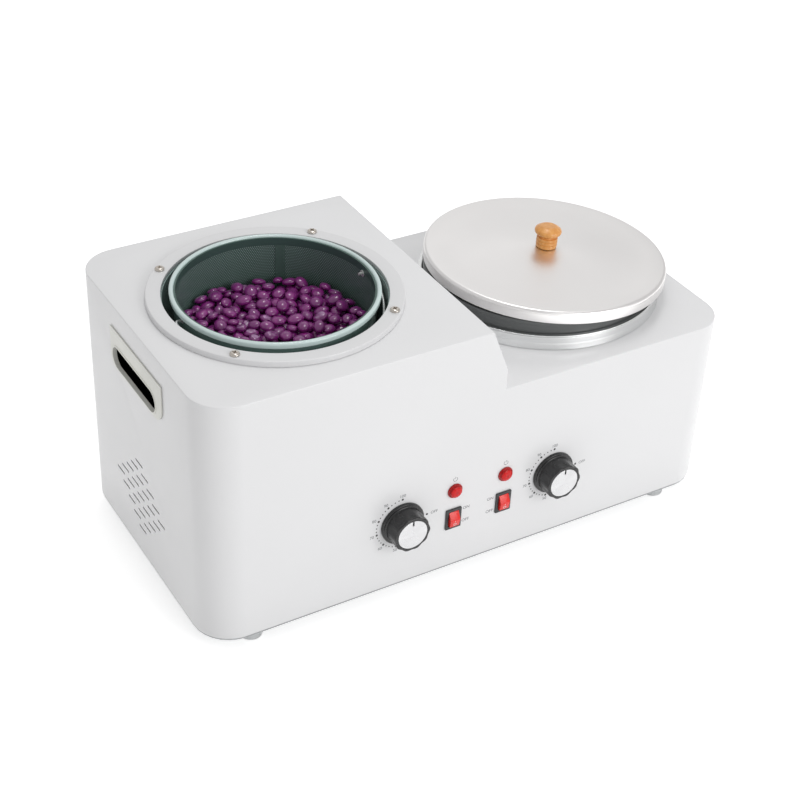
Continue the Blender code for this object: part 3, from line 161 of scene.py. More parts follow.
# Left station
TANK_RADIUS = 0.0928
TANK_WALL = 0.0012
VESSEL_LIP = 0.0010
FLOOR_ROUND = 0.008
RING_WIDTH = 0.0128
RING_PLATE = 0.0036
RING_SKIRT = 0.0017
RING_ROUND = 0.0011
RING_SCREW_COUNT = 4
SCREW_TURNS = (0.3, 1.1, 0.7, 0.1)
PAN_SHARE = 0.8
CROSS_REACH_SHARE = 0.55
CROSS_WIDTH_SHARE = 0.16
CROSS_TAPER = 0.6
CROSS_DEPTH_SHARE = 1.2
BASKET_RIM_WIDTH = 0.0038
BASKET_RIM_ROUND = 0.0016
BASKET_WALL = 0.0008
BASKET_FLOOR_ROUND = 0.006
BAND_HEIGHT = 0.0070
BAND_SHEET = 0.0005
SLEEVE_HEIGHT = 0.0300
SEAM_AZIMUTH = math.radians(60.5)
SEAM_WIDTH = 0.0085
SEAM_STEPS = 6
SEAM_SPOT = 0.0006
SEAM_SPOT_SHARE = 0.72
SEAM_SPOT_STEP = 0.0040
EYELET_RADIUS = 0.0030
EYELET_FLANGE = 0.0008
BAIL_WIRE = 0.0025
BAIL_CLEARANCE = 0.0026
BAIL_BEND = 0.0030
BAIL_STUB = 0.0030
BAIL_STEPS = 30
BAIL_AZIMUTH = 0
BAIL_TILT = math.radians(17)

# Right station
WELL_RADIUS = 0.1052
WELL_WALL = 0.0010
COLLAR_FLARE = 0.0012
POT_CLEARANCE = 0.0007
POT_WALL = 0.0015
POT_RIM_WIDTH = 0.0039
POT_RIM_DEPTH = 0.0040
POT_RIM_ROUND = 0.0016
LID_SHEET = 0.0012
LID_ROUND = 0.0030
LID_CROWN = 0.0054
LID_CROWN_RADIUS = 0.094
LID_CROWN_STEPS = 24
LID_HEM = 0.0009
LID_GROOVE = 0.0003
LID_GROOVE_DROP = 0.0031
KNOB_PROFILE = (
    (0.0000, 0.0203, 0),
    (0.0068, 0.0203, 0.0058),
    (0.0126, 0.0168, 0.0028),
    (0.0118, 0.0136, 0.0016),
    (0.0075, 0.0114, 0.0012),
    (0.0075, 0.0100, 0.0008),
    (0.0094, 0.0096, 0.0004),
    (0.0096, 0.0074, 0.0010),
    (0.0088, 0.0069, 0.0002),
    (0.0096, 0.0064, 0.0004),
    (0.0096, 0.0042, 0.0010),
    (0.0088, 0.0037, 0.0002),
    (0.0096, 0.0032, 0.0004),
    (0.0094, 0.0000, 0.0008),
    (0.0000, 0.0000, 0),
)

# Controls
DIAL_REACH = 0.0185
DIAL_RADIUS = 0.0173
DIAL_ROUND = 0.0010
DIAL_RECESS_ROUND = 0.00032
DIAL_FLUTES = 10
DIAL_FLUTE_DEPTH = 0.0009
DIAL_FLUTE_START = 0.0050
DIAL_FLUTE_END = 0.0150
DIAL_WALL_STEPS = 8
SKIRT_RADIUS = 0.0203
SKIRT_DEPTH = 0.0028
CAP_RADIUS = 0.0139
CAP_THICKNESS = 0.0011
CAP_PROUD = 0.0005
POINTER_WIDTH = 0.0016
POINTER_LENGTH = 0.0047
BEZEL_THICKNESS = 0.0012
BEZEL_ROUND = 0.0008
SWITCH_MARGIN = 0.0010
POCKET_MARGIN = 0.0026
POCKET_DEPTH = 0.0085
ROCKER_CLEARANCE = 0.0004
ROCKER_RIDGE = 0.0046
ROCKER_END = 0.0020
ROCKER_BACK = 0.0024
ROCKER_BACK_SHARE = 0.75
ROCKER_ROUND = 0.0005
ROCKER_TILT = math.radians(9)
MARK_RADIUS = 0.0015
MARK_LINE = 0.0004
MARK_DROP = 0.0050
MARK_BAR = 0.0010
MARK_BAR_DROP = 0.0015
LENS_FLANGE = 0.0011
LENS_DOME = 0.0057
LENS_CROWN = 0.0034
LENS_SHOULDER = 0.0011
LENS_DRAFT = 0.0004
INLET_CORNER = 0.0020
SOCKET_SIZE = (0.0240, 0.0160)
SOCKET_CORNERS = ((-1, -1, 0.0016), (1, -1, 0.0016), (1, 0.45, 0.0008), (0.6, 1, 0.0008),
                  (-0.6, 1, 0.0008), (-1, 0.45, 0.0008))
SOCKET_DEPTH = 0.0150
PINS = ("live", "neutral", "earth")

# Print on the panel
DOT_CIRCLE = 0.0246
DOT_MAJOR = 0.00105
DOT_MINOR = 0.00058
MINOR_SHARES = (0.25, 0.5, 0.75)
DIAL_NUMBERS = 8
DIAL_FIRST = math.radians(-34)
DIAL_STEP = math.radians(33.6)
NUMBER_START = 30
NUMBER_STEP = 10
NUMBER_CIRCLE = 0.0282
NUMBER_LEAN = 0.0012
NUMBER_SIZE = 0.0041
SWITCH_WORD_SIZE = 0.0043
OFF_REACH = 0.0318
SWITCH_WORD_RISE = 0.0068
SWITCH_WORD_REACH = 0.0132
LAMP_MARK_RISE = 0.0118
LAMP_MARK = 0.0022
LAMP_MARK_LINE = 0.0004
LAMP_BAR_SHARE = 0.75
MARK_GAP = math.radians(32)

# Wax beads
BEAD_SIZE = (0.0048, 0.0066, 0.0082)
BEAD_COUNT = 500
BEAD_OVAL = 0.80
BEAD_FLATNESS = 0.43
BEAD_DOME = 1.2
BEAD_EDGE_POWER = 0.6
BEAD_DROP_POWER = 0.8
BEAD_FLAT_SHARES = (0.62, 0.3)
BEAD_DOME_RINGS = 4
BEAD_FOOT_RINGS = 3
BEAD_SIDES = 18
BEAD_SETTLE = 0.5
BEAD_FLIPPED = 0.09
BEAD_TONE = 0.7
BEAD_SEED = 7
BEAD_BED_DROP = 0.0505
HEAP_CELL = 0.0007
HEAP_MARGIN = 14
HEAP_TRIES = 26
HEAP_LEAN = 0.5

# Material detail
GRAIN_HEIGHT = 0.001
MOTTLE_DETAIL = 3.0
MOTTLE_STOPS = ((0.35, 0.0), (0.65, 1.0))
WEAR_DETAIL = 4.0
WEAR_START = 0.3
WEAR_END = 0.7
RING_DETAIL = 4.0
RING_HEIGHT = 0.0004
HOLE_PITCH = 0.0018
HOLE_RADIUS = 0.00058
HOLE_SOFTNESS = 0.3
HOLE_CONTRAST = 1.6
HOLE_DEPTH = 0.0005
HOLE_DEPTH_STRENGTH = -0.4

# Light and floor
SKY_COLOUR = (1, 1, 1)
SKY_STRENGTH = 0.62
FRONT_LAMP = ((0.9, -2.6, 1.3), 1.6, 32)
TOP_LAMP = ((0.3, 0.4, 2.4), 0.55, 9)
BACK_LAMP = ((1.6, 3.0, 2.2), 3.2, 7)
LAMP_AIM_Z = 0.12
FLOOR_REACH = 6.0
FLOOR_COLOUR = (0.86, 0.86, 0.86)
FLOOR_GLOW = 0.55
FLOOR_ROUGHNESS = 0.9


def srgb(code):
    """Linear colour of a six-digit web colour."""
    parts = [int(code[k : k + 2], 16) / 255 for k in (0, 2, 4)]
    return tuple(part / 12.92 if part <= 0.04045 else ((part + 0.055) / 1.055) ** 2.4 for part in parts)


class Surface:
    """A Principled material built up from small node steps."""

    def __init__(self, name, colour, roughness, metallic=0.0, **extra):
        self.material = bpy.data.materials.new(name)
        self.material.use_nodes = True
        self.tree = self.material.node_tree
        self.shader = self.tree.nodes["Principled BSDF"]
        self.colour = (*colour, 1)
        self.set("Base Color", self.colour)
        self.set("Roughness", roughness)
        self.set("Metallic", metallic)
        for key, value in extra.items():
            self.set(key.replace("_", " ").title(), value)
        self.relief = None

    def set(self, socket, value):
        self.shader.inputs[socket].default_value = value

    def node(self, kind, **settings):
        made = self.tree.nodes.new(kind)
        for key, value in settings.items():
            setattr(made, key, value)
        return made

    def link(self, source, target):
        self.tree.links.new(source, target)

    def math(self, operation, first, second=0.0, third=0.0):
        step = self.node("ShaderNodeMath", operation=operation)
        for socket, value in zip(step.inputs, (first, second, third)):
            if isinstance(value, (int, float)):
                socket.default_value = value
            else:
                self.link(value, socket)
        return step.outputs[0]

    def place(self):
        return self.node("ShaderNodeTexCoord").outputs["Object"]

    def split(self, vector):
        parts = self.node("ShaderNodeSeparateXYZ")
        self.link(vector, parts.inputs[0])
        return parts.outputs

    def noise(self, scale, detail=2.0, stretch=(1, 1, 1), source=None):
        spread = self.node("ShaderNodeMapping")
        spread.inputs["Scale"].default_value = stretch
        self.link(source or self.place(), spread.inputs["Vector"])
        made = self.node("ShaderNodeTexNoise")
        made.inputs["Scale"].default_value = scale
        made.inputs["Detail"].default_value = detail
        self.link(spread.outputs[0], made.inputs["Vector"])
        return made.outputs["Fac"]

    def ramp(self, factor, *stops):
        """Grey levels over a factor, as (position, value) stops."""
        made = self.node("ShaderNodeValToRGB")
        ramp = made.color_ramp
        while len(ramp.elements) < len(stops):
            ramp.elements.new(0.5)
        for element, (position, value) in zip(ramp.elements, stops):
            element.position = position
            element.color = (value, value, value, 1)
        self.link(factor, made.inputs["Fac"])
        return made.outputs["Color"]

    def paint(self, factor, other):
        """Mixes the base colour towards another by a factor."""
        mix = self.node("ShaderNodeMix", data_type="RGBA")
        self.link(factor, mix.inputs["Factor"])
        current = self.shader.inputs["Base Color"]
        if current.is_linked:
            self.link(current.links[0].from_socket, mix.inputs["A"])
        else:
            mix.inputs["A"].default_value = current.default_value
        if isinstance(other, tuple):
            mix.inputs["B"].default_value = (*other, 1)
        else:
            self.link(other, mix.inputs["B"])
        self.link(mix.outputs["Result"], current)
        return self

    def mottle(self, scale, share):
        """A slight cloudiness of the base colour."""
        darker = tuple(part * (1 - share) for part in self.colour[:3])
        return self.paint(self.ramp(self.noise(scale, MOTTLE_DETAIL), *MOTTLE_STOPS), darker)

    def wear(self, scale, low, high):
        """Roughness that wanders between two levels."""
        level = self.ramp(self.noise(scale, WEAR_DETAIL), (WEAR_START, low), (WEAR_END, high))
        self.link(level, self.shader.inputs["Roughness"])
        return self

    def bump(self, height, strength, distance=GRAIN_HEIGHT):
        made = self.node("ShaderNodeBump")
        made.inputs["Strength"].default_value = strength
        made.inputs["Distance"].default_value = distance
        self.link(height, made.inputs["Height"])
        if self.relief:
            self.link(self.relief, made.inputs["Normal"])
        self.relief = made.outputs[0]
        self.link(self.relief, self.shader.inputs["Normal"])
        return self

    def grain(self, scale, strength, stretch=(1, 1, 1)):
        return self.bump(self.noise(scale, stretch=stretch), strength)

    def length(self, x, y):
        squares = self.math("ADD", self.math("MULTIPLY", x, x), self.math("MULTIPLY", y, y))
        return self.math("SQRT", squares)

    def radius(self):
        """Distance from the object's own Z."""
        x, y, _ = self.split(self.place())
        return self.length(x, y)

    def rings(self, scale, strength):
        """Fine turning marks: circles round the object's own Z."""
        point = self.node("ShaderNodeCombineXYZ")
        self.link(self.radius(), point.inputs[0])
        marks = self.noise(scale, RING_DETAIL, source=point.outputs[0])
        return self.bump(marks, strength, RING_HEIGHT)

    def lattice(self, u, v, pitch, row, shift):
        """Distance to the nearest point of a lattice of two pitches, shifted by a share of both."""
        offsets = []
        for value, step in ((u, pitch), (v, row)):
            share = self.math("FRACT", self.math("ADD", self.math("DIVIDE", value, step), shift))
            offsets.append(self.math("MULTIPLY", self.math("SUBTRACT", share, 0.5), step))
        return self.length(*offsets)


def spun_metal(name, code, roughness, marks, fan):
    made = Surface(name, srgb(code), roughness, 1.0, anisotropic=fan)
    made.rings(marks, 0.05).mottle(9, 0.02)
    return made.wear(30, roughness - 0.03, roughness + 0.04)


def plain_plastic(name, code, roughness, grain=0.05):
    made = Surface(name, srgb(code), roughness)
    return made.mottle(25, 0.06).wear(60, roughness - 0.04, roughness + 0.06).grain(1800, grain)


def perforated(name, code, hole_code):
    """Dark coated sheet with a fine staggered perforation, laid out on the piece's UV map in metres."""
    made = Surface(name, srgb(code), 0.42, 0.2, coat_weight=0.2)
    made.mottle(14, 0.12)
    u, v, _ = made.split(made.node("ShaderNodeTexCoord").outputs["UV"])
    lattices = [made.lattice(u, v, HOLE_PITCH, HOLE_PITCH * math.sqrt(3), shift) for shift in (0.0, 0.5)]
    nearest = made.math("DIVIDE", made.math("MINIMUM", *lattices), HOLE_RADIUS)
    dots = made.math("SUBTRACT", 1.0, made.math("SMOOTH_MIN", nearest, 1.0, HOLE_SOFTNESS))
    made.paint(made.math("MULTIPLY", dots, HOLE_CONTRAST), srgb(hole_code))
    return made.bump(dots, HOLE_DEPTH_STRENGTH, HOLE_DEPTH)


def turned_wood():
    made = Surface("Turned wood", srgb("e4a357"), 0.36, coat_weight=0.35, coat_roughness=0.25)
    streaks = made.noise(60, 6.0, (6, 6, 0.7))
    made.paint(made.ramp(streaks, (0.38, 0.0), (0.62, 0.75)), srgb("d38d44"))
    pores = made.noise(420, 3.0, (4, 4, 0.35))
    made.paint(made.ramp(pores, (0.58, 0.0), (0.75, 0.5)), srgb("b4702c"))
    return made.grain(400, 0.08, (4, 4, 0.35))


def lens_red():
    made = Surface("Red lens", srgb("d30f10"), 0.2, subsurface_weight=0.15)
    made.set("Specular IOR Level", 0.3)
    # Painted shade: the red darkens to a spot in the middle of the crown and towards the dome's foot and the
    # flange, where the lens looks shaded
    share = made.math("DIVIDE", made.radius(), LENS_DOME)
    made.paint(made.ramp(share, (0.12, 0.5), (0.30, 0.0), (0.84, 0.0), (0.99, 0.6)), srgb("8a0a0c"))
    return made.grain(900, 0.04)


def wax_beads():
    """Purple wax: each bead has its own tone, and the flat underside is pale and dull."""
    made = Surface("Purple wax", srgb("7a1b72"), 0.24, subsurface_weight=0.08)
    made.set("Coat Weight", 0.9)
    made.set("Coat Roughness", 0.06)
    made.set("Subsurface Radius", (0.004, 0.0006, 0.002))
    made.set("Subsurface Scale", 0.5)
    made.set("Specular IOR Level", 0.4)
    tone = made.node("ShaderNodeAttribute", attribute_name="tone").outputs["Color"]
    channels = made.node("ShaderNodeSeparateColor")
    made.link(tone, channels.inputs[0])
    made.paint(channels.outputs["Red"], srgb("a0348f"))
    made.paint(channels.outputs["Green"], srgb("b98fba"))
    made.mottle(180, 0.12)
    return made.wear(300, 0.24, 0.4).grain(700, 0.1)


PAINT = Surface("Pearl paint", srgb("e5e5e6"), 0.34, coat_weight=0.25, coat_roughness=0.2)
PAINT.mottle(6, 0.015).wear(40, 0.31, 0.38).grain(1500, 0.03)
RING_PAINT = Surface("Ring paint", srgb("dcdcdd"), 0.3, coat_weight=0.2, coat_roughness=0.2)
RING_PAINT.mottle(5, 0.015).grain(1500, 0.01)
# Painted shade: near-black for the inner faces of the casing, where the inside lies in shade
INSIDE_SHADE = Surface("Painted inside shade", srgb("262625"), 0.7).mottle(30, 0.2).grain(900, 0.05)
LID_METAL = spun_metal("Spun lid", "f3f1f0", 0.36, 2600, 0.35)
COLLAR_METAL = spun_metal("Spun collar", "e9eaea", 0.24, 2600, 0.55)
CAP_METAL = spun_metal("Spun cap", "d0d0d1", 0.27, 5200, 0.88)
POT_COAT = Surface("Pot coating", srgb("5c5e5e"), 0.42, 0.35)
POT_COAT.mottle(20, 0.08).wear(90, 0.36, 0.5).grain(2200, 0.06)
TANK_COAT = Surface("Tank coating", srgb("93a6a2"), 0.3, 0.1)
TANK_COAT.mottle(16, 0.15).wear(60, 0.24, 0.4).grain(1600, 0.05)
RIM_COAT = Surface("Rim coating", srgb("c9dad8"), 0.22, coat_weight=0.5).mottle(30, 0.05).grain(1200, 0.03)
CUP_COAT = perforated("Perforated sheet", "465f57", "94aca4")
BAND_COAT = Surface("Band coating", srgb("435c55"), 0.35, 0.2).mottle(16, 0.1).grain(1600, 0.05)
CUP_SHEET = Surface("Cup sheet", srgb("506960"), 0.4, 0.2).mottle(14, 0.12).grain(1600, 0.05)
# Painted light: the outer sleeve is a lighter copy of the basket's dark teal coating, standing in for light
# in the shaded gap round the basket
LIT_SLEEVE_COAT = Surface("Sleeve coating with painted light", srgb("7a938e"), 0.28, 0.15).mottle(16, 0.1).grain(1600, 0.04)
WIRE = Surface("Bright wire", srgb("dcdedd"), 0.35, 0.6).mottle(40, 0.05).grain(1500, 0.05)
NICKEL = Surface("Nickel", srgb("cfc8c0"), 0.26, 1.0).mottle(60, 0.08).wear(200, 0.2, 0.36).grain(1800, 0.05)
BLACK = plain_plastic("Black plastic", "222223", 0.24, 0.02)
SWITCH_BLACK = plain_plastic("Switch plastic", "2b2b2c", 0.36)
RED = plain_plastic("Red plastic", "e81c12", 0.26, 0.02)
BEIGE = plain_plastic("Beige plastic", "e9e9e2", 0.4)
SHEET_GREY = Surface("Bare sheet", srgb("a9abac"), 0.38, 0.9).mottle(20, 0.08).grain(900, 0.05, (1, 8, 1))
RUBBER = plain_plastic("Clear rubber", "e2e4e5", 0.3)
RUBBER.set("Transmission Weight", 0.45)
# Painted shade: the glass wool is coloured near-black, standing in for the shade inside the casing behind the
# grip slots
SHADED_WOOL = Surface("Glass wool", srgb("2b2a26"), 0.95).mottle(200, 0.2).grain(500, 0.6)
COPPER = Surface("Copper", srgb("c98a66"), 0.35, 1.0).mottle(50, 0.15).grain(900, 0.05)
BRASS = Surface("Brass", srgb("cdb070"), 0.32, 1.0).mottle(50, 0.12).grain(900, 0.05)
LEAD = plain_plastic("Lead skin", "5a3428", 0.55)
INK = plain_plastic("Grey print", "75777a", 0.6, 0.0)
DARK_INK = plain_plastic("Black print", "2a2a2b", 0.6, 0.0)
WHITE_INK = plain_plastic("White print", "f4e6e4", 0.5, 0.0)
WAX = wax_beads()
WOOD = turned_wood()
LENS = lens_red()


def add(name, data, surface, location=(0, 0, 0), rotation=FLAT):
    made = bpy.data.objects.new(name, data)
    made.location = location
    made.rotation_euler = rotation
    if surface:
        data.materials.append(surface.material)
    bpy.context.scene.collection.objects.link(made)
    return made


def smooth(piece, angle=SHARP_ANGLE):
    """Shades a mesh smooth, with the edges sharper than an angle kept."""
    shape = bmesh.new()
    shape.from_mesh(piece.data)
    for face in shape.faces:
        face.smooth = True
    for edge in shape.edges:
        edge.smooth = len(edge.link_faces) == 2 and edge.calc_face_angle(0) < angle
    shape.to_mesh(piece.data)
    shape.free()
    return piece


def evaluated(piece):
    """The piece's mesh with its modifiers or curve settings applied."""
    graph = bpy.context.evaluated_depsgraph_get()
    return bpy.data.meshes.new_from_object(piece.evaluated_get(graph))


def from_curve(name, curve):
    """The mesh of a curve or text, without materials."""
    holder = bpy.data.objects.new(name, curve)
    bpy.context.scene.collection.objects.link(holder)
    mesh = evaluated(holder)
    mesh.materials.clear()
    bpy.data.objects.remove(holder)
    return mesh


def closed(shape, name):
    """A mesh of the name from a finished bmesh."""
    mesh = bpy.data.meshes.new(name)
    shape.to_mesh(mesh)
    shape.free()
    return mesh


def settle(piece):
    """Applies the modifiers, so that the piece is a plain mesh, and drops the tools they used."""
    mesh = evaluated(piece)
    tools = [step.object for step in piece.modifiers if step.type == "BOOLEAN"]
    piece.modifiers.clear()
    piece.data = mesh
    for tool in tools:
        bpy.data.objects.remove(tool)
    return smooth(piece)


def rounded(corners, steps=ARC_STEPS):
    """Points of an outline given as (x, y, radius) corners."""
    points = []
    for index, (x, y, radius) in enumerate(corners):
        corner = Vector((x, y))
        if radius <= 0:
            points.append(corner)
            continue
        back = (Vector(corners[index - 1][:2]) - corner).normalized()
        ahead = (Vector(corners[(index + 1) % len(corners)][:2]) - corner).normalized()
        half_angle = back.angle(ahead) / 2
        centre = corner + (back + ahead).normalized() * radius / math.sin(half_angle)
        start = corner + back * radius / math.tan(half_angle) - centre
        sweep = math.pi - 2 * half_angle
        if back.x * ahead.y - back.y * ahead.x > 0:
            sweep = -sweep
        for step in range(steps + 1):
            points.append(centre + Matrix.Rotation(sweep * step / steps, 2) @ start)
    return points


def rectangle(width, height, radius, centre=(0, 0), steps=ARC_STEPS):
    x, y = centre
    corners = [(x - width / 2, y - height / 2), (x + width / 2, y - height / 2)]
    corners += [(x + width / 2, y + height / 2), (x - width / 2, y + height / 2)]
    return rounded([(*corner, radius) for corner in corners], steps)


def circle(radius, centre=(0, 0), steps=ROUND_STEPS):
    turn = 2 * math.pi / steps
    return [
        (centre[0] + radius * math.cos(turn * k), centre[1] + radius * math.sin(turn * k))
        for k in range(steps)
    ]


def slab(name, outlines, thickness, surface=None, location=(0, 0, 0), rotation=FLAT):
    """Flat outlines with their holes, extruded to a thickness about their own plane."""
    curve = bpy.data.curves.new(name, "CURVE")
    curve.dimensions = "2D"
    curve.fill_mode = "BOTH"
    curve.extrude = thickness / 2
    for outline in outlines:
        spline = curve.splines.new("POLY")
        spline.points.add(len(outline) - 1)
        for point, (x, y) in zip(spline.points, outline):
            point.co = (x, y, 0, 1)
        spline.use_cyclic_u = True
    mesh = from_curve(name, curve)
    shape = bmesh.new()
    shape.from_mesh(mesh)
    bmesh.ops.remove_doubles(shape, verts=shape.verts, dist=MERGE)
    bmesh.ops.recalc_face_normals(shape, faces=shape.faces)
    shape.to_mesh(mesh)
    shape.free()
    return add(name, mesh, surface, location, rotation)


def turned(name, profile, surface, location=(0, 0, 0), rotation=FLAT, steps=ROUND_STEPS, ring=False,
           wave=None, arc=ARC_STEPS):
    """A profile of (radius, height, rounding) corners turned about Z, with a UV map in metres.

    A wave is a function of angle and radius that gives the radius there. A ring's profile is closed.
    """
    points = rounded(profile, arc)
    shape = bmesh.new()
    uv = shape.loops.layers.uv.new("UVMap")
    rings = []
    for radius, height in points:
        if radius <= MERGE:
            rings.append([shape.verts.new((0, 0, height))] * steps)
            continue
        ring_points = []
        for k in range(steps):
            angle = 2 * math.pi * k / steps
            out = wave(angle, radius, height) if wave else radius
            ring_points.append(shape.verts.new((out * math.cos(angle), out * math.sin(angle), height)))
        rings.append(ring_points)
    pairs = list(zip(rings, rings[1:], points, points[1:]))
    if ring:
        pairs.append((rings[-1], rings[0], points[-1], points[0]))
    travel = 0.0
    for upper, lower, start, end in pairs:
        length = (Vector(end) - Vector(start)).length
        for k in range(steps):
            j = (k + 1) % steps
            corners = [(upper[k], k, 0), (upper[j], k + 1, 0), (lower[j], k + 1, 1), (lower[k], k, 1)]
            corners = [c for i, c in enumerate(corners) if c[0] not in [d[0] for d in corners[:i]]]
            if len(corners) < 3:
                continue
            face = shape.faces.new([c[0] for c in corners])
            for loop, (_, turn, far) in zip(face.loops, corners):
                around = 2 * math.pi * turn / steps * max(start[0], end[0])
                loop[uv].uv = (around, travel + length * far)
        travel += length
    bmesh.ops.recalc_face_normals(shape, faces=shape.faces)
    return smooth(add(name, closed(shape, name), surface, location, rotation))


def tube(name, points, radius, surface, location=(0, 0, 0), rotation=FLAT):
    curve = bpy.data.curves.new(name, "CURVE")
    curve.dimensions = "3D"
    curve.bevel_depth = radius
    curve.bevel_resolution = ARC_STEPS
    curve.use_fill_caps = True
    spline = curve.splines.new("POLY")
    spline.points.add(len(points) - 1)
    for point, place in zip(spline.points, points):
        point.co = (*place, 1)
    spline.use_smooth = True
    return add(name, curve, surface, location, rotation)


def combine(target, operation, tool):
    step = target.modifiers.new("Combine", "BOOLEAN")
    step.operation = operation
    step.object = tool
    tool.hide_render = True


def cut(target, outlines, depth, place=(0, 0, 0), facing=FACING_FRONT):
    """Cuts outlines through a piece, to a depth about their own plane."""
    combine(target, "DIFFERENCE", slab("cutter", outlines, depth, None, place, facing))


def weld(target, outline, depth, place, facing=FACING_FRONT):
    """Joins a slab to a piece."""
    combine(target, "UNION", slab("added", [outline], depth, None, place, facing))


def soften(target, width):
    edge = target.modifiers.new("Soft edges", "BEVEL")
    edge.width = width
    edge.segments = SOFT_SEGMENTS
    edge.limit_method = "ANGLE"
    edge.angle_limit = SHARP_ANGLE
    return target


def dress(piece, body, slot, *nodes):
    """The piece rides on a body and stands for its CAD nodes, which are hidden. The slot argument is not
    used.
    """
    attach(piece, body)
    if nodes:
        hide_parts(*nodes)
    return piece


def finish_node(node, surface):
    """A CAD node whose shape stays, with a better material."""
    slots = frame["nodes"][node].data.materials
    slots.clear()
    slots.append(surface.material)


def casing_front(inset, bottom):
    low, tall = LOW_Z - CLEARANCE - inset, TALL_Z - inset
    slope = (STEP_FOOT_X - STEP_TOP_X) / STEP_SLANT_DROP
    lean = inset * math.hypot(1, slope)
    bend = TALL_Z - (STEP_FOOT_X - inset + lean - STEP_TOP_X) / slope
    return [
        (LEFT_X + inset, bottom),
        (RIGHT_X - inset, bottom),
        (RIGHT_X - inset, low),
        (STEP_FOOT_X - inset, low),
        (STEP_FOOT_X - inset, bend),
        (STEP_TOP_X + inset * slope - lean, tall),
        (LEFT_X + inset, tall),
    ]


def casing_plan(inset):
    size = (RIGHT_X - LEFT_X - 2 * inset, BACK_Y - FRONT_Y - 2 * inset)
    return rectangle(*size, CORNER_RADIUS - inset, ((LEFT_X + RIGHT_X) / 2, MID_Y), CORNER_STEPS)


def casing_block(inset):
    """The casing's plan, extruded past its height."""
    height = TALL_Z - BASE_Z + 2 * OVERRUN
    return slab("plan", [casing_plan(inset)], height, None, (0, 0, (TALL_Z + BASE_Z) / 2))


def make_casing():
    """The folded shell: its front outline and its plan, hollowed, with every opening cut."""
    depth = BACK_Y - FRONT_Y
    middle_place = (0, MID_Y, 0)
    whole = [casing_front(0, BASE_Z)]
    casing = slab("casing_shell", whole, depth + 2 * OVERRUN, PAINT, middle_place, FACING_FRONT)
    combine(casing, "INTERSECT", casing_block(0))
    soften(casing, EDGE_ROUND)
    inside = slab("inside", [casing_front(SHEET, BASE_Z + SHEET)], depth, None, middle_place, FACING_FRONT)
    combine(inside, "INTERSECT", casing_block(SHEET))
    combine(casing, "DIFFERENCE", settle(inside))
    cut(casing, [casing_plan(BASE_FLANGE - SHEET)], 2 * OVERRUN, (0, 0, BASE_Z), FLAT)
    tank_hole = circle(reach("left_insulation_sleeve") - LEFT_SLEEVE, LEFT_POT[:2])
    well_hole = circle(reach("right_insulation_sleeve") - RIGHT_SLEEVE, RIGHT_POT[:2])
    low, high = LOW_Z - OVERRUN, TALL_Z + OVERRUN
    cut(casing, [tank_hole, well_hole], high - low, (0, 0, (low + high) / 2), FLAT)
    cut(casing, vent_outlines(), RIGHT_X - LEFT_X + 2 * OVERRUN, facing=FACING_SIDE)
    width, height = (size + 2 * CLEARANCE for size in NECK_SIZE)
    for wall, node in ((LEFT_X, "grip_frame_left"), (RIGHT_X, "grip_frame_right")):
        place = Vector((wall, middle(node).y + GRIP_SLOT_BACK, middle(node).z - GRIP_SLOT_DROP))
        cut(casing, [rectangle(width, height, height / 2)], 2 * OVERRUN, place, FACING_SIDE)
    cut(casing, panel_holes(), 2 * OVERRUN, (0, FRONT_Y, 0))
    size, place = span("mains_inlet"), middle("mains_inlet")
    width, height = size.x - INLET_MARGIN + 2 * CLEARANCE, size.z - INLET_BODY_DROP + 2 * CLEARANCE
    cut(casing, [rectangle(width, height, CLEARANCE)], 2 * OVERRUN, (place.x, BACK_Y, place.z))
    shade_inside(settle(casing))
    dress(casing, "housing", "casing_paint", "outer_casing")


def shade_inside(casing):
    """Painted shade: a near-black material on the inner faces of the shell, standing in for the shade inside
    the casing.
    """
    casing.data.materials.append(INSIDE_SHADE.material)
    centre = Vector((0, MID_Y, (TALL_Z + BASE_Z) / 2))
    depth = SHEET * SHADE_DEPTH_SHARE
    pose = casing.matrix_basis.copy()
    turn = pose.to_3x3()
    for face in casing.data.polygons:
        spot = pose @ face.center
        within = abs(spot.x) < RIGHT_X - depth and abs(spot.y - MID_Y) < BACK_Y - MID_Y - depth
        if within and (turn @ face.normal).dot(centre - spot) > 0:
            face.material_index = len(casing.data.materials) - 1


def vent_outlines():
    outlines = []
    for i in range(VENT_SIDE_COUNT):
        for j in range(VENT_SIDE_COUNT):
            y = MID_Y + VENT_BACK_SHIFT - (i + j + 1 - VENT_SIDE_COUNT) * VENT_STEP_Y
            z = BASE_Z + VENT_CENTRE_Z + (i - j) * VENT_STEP_Z
            outlines.append(rectangle(VENT_LENGTH, VENT_HEIGHT, VENT_HEIGHT * VENT_ROUND_SHARE, (y, z)))
    return outlines


def panel_holes():
    outlines = []
    for side, _ in SIDES:
        for node, radius in ((f"{side}_thermostat", BUSH_HOLE), (f"{side}_lamp_body", LAMP_HOLE)):
            place = middle(node)
            outlines.append(circle(radius, (place.x, place.z), SMALL_STEPS))
        node = f"{side}_switch_housing"
        place, size = middle(node), span(node)
        margin = 2 * (SWITCH_MARGIN - CLEARANCE)
        outlines.append(rectangle(size.x - margin, size.z - margin, CLEARANCE, (place.x, place.z)))
    return outlines


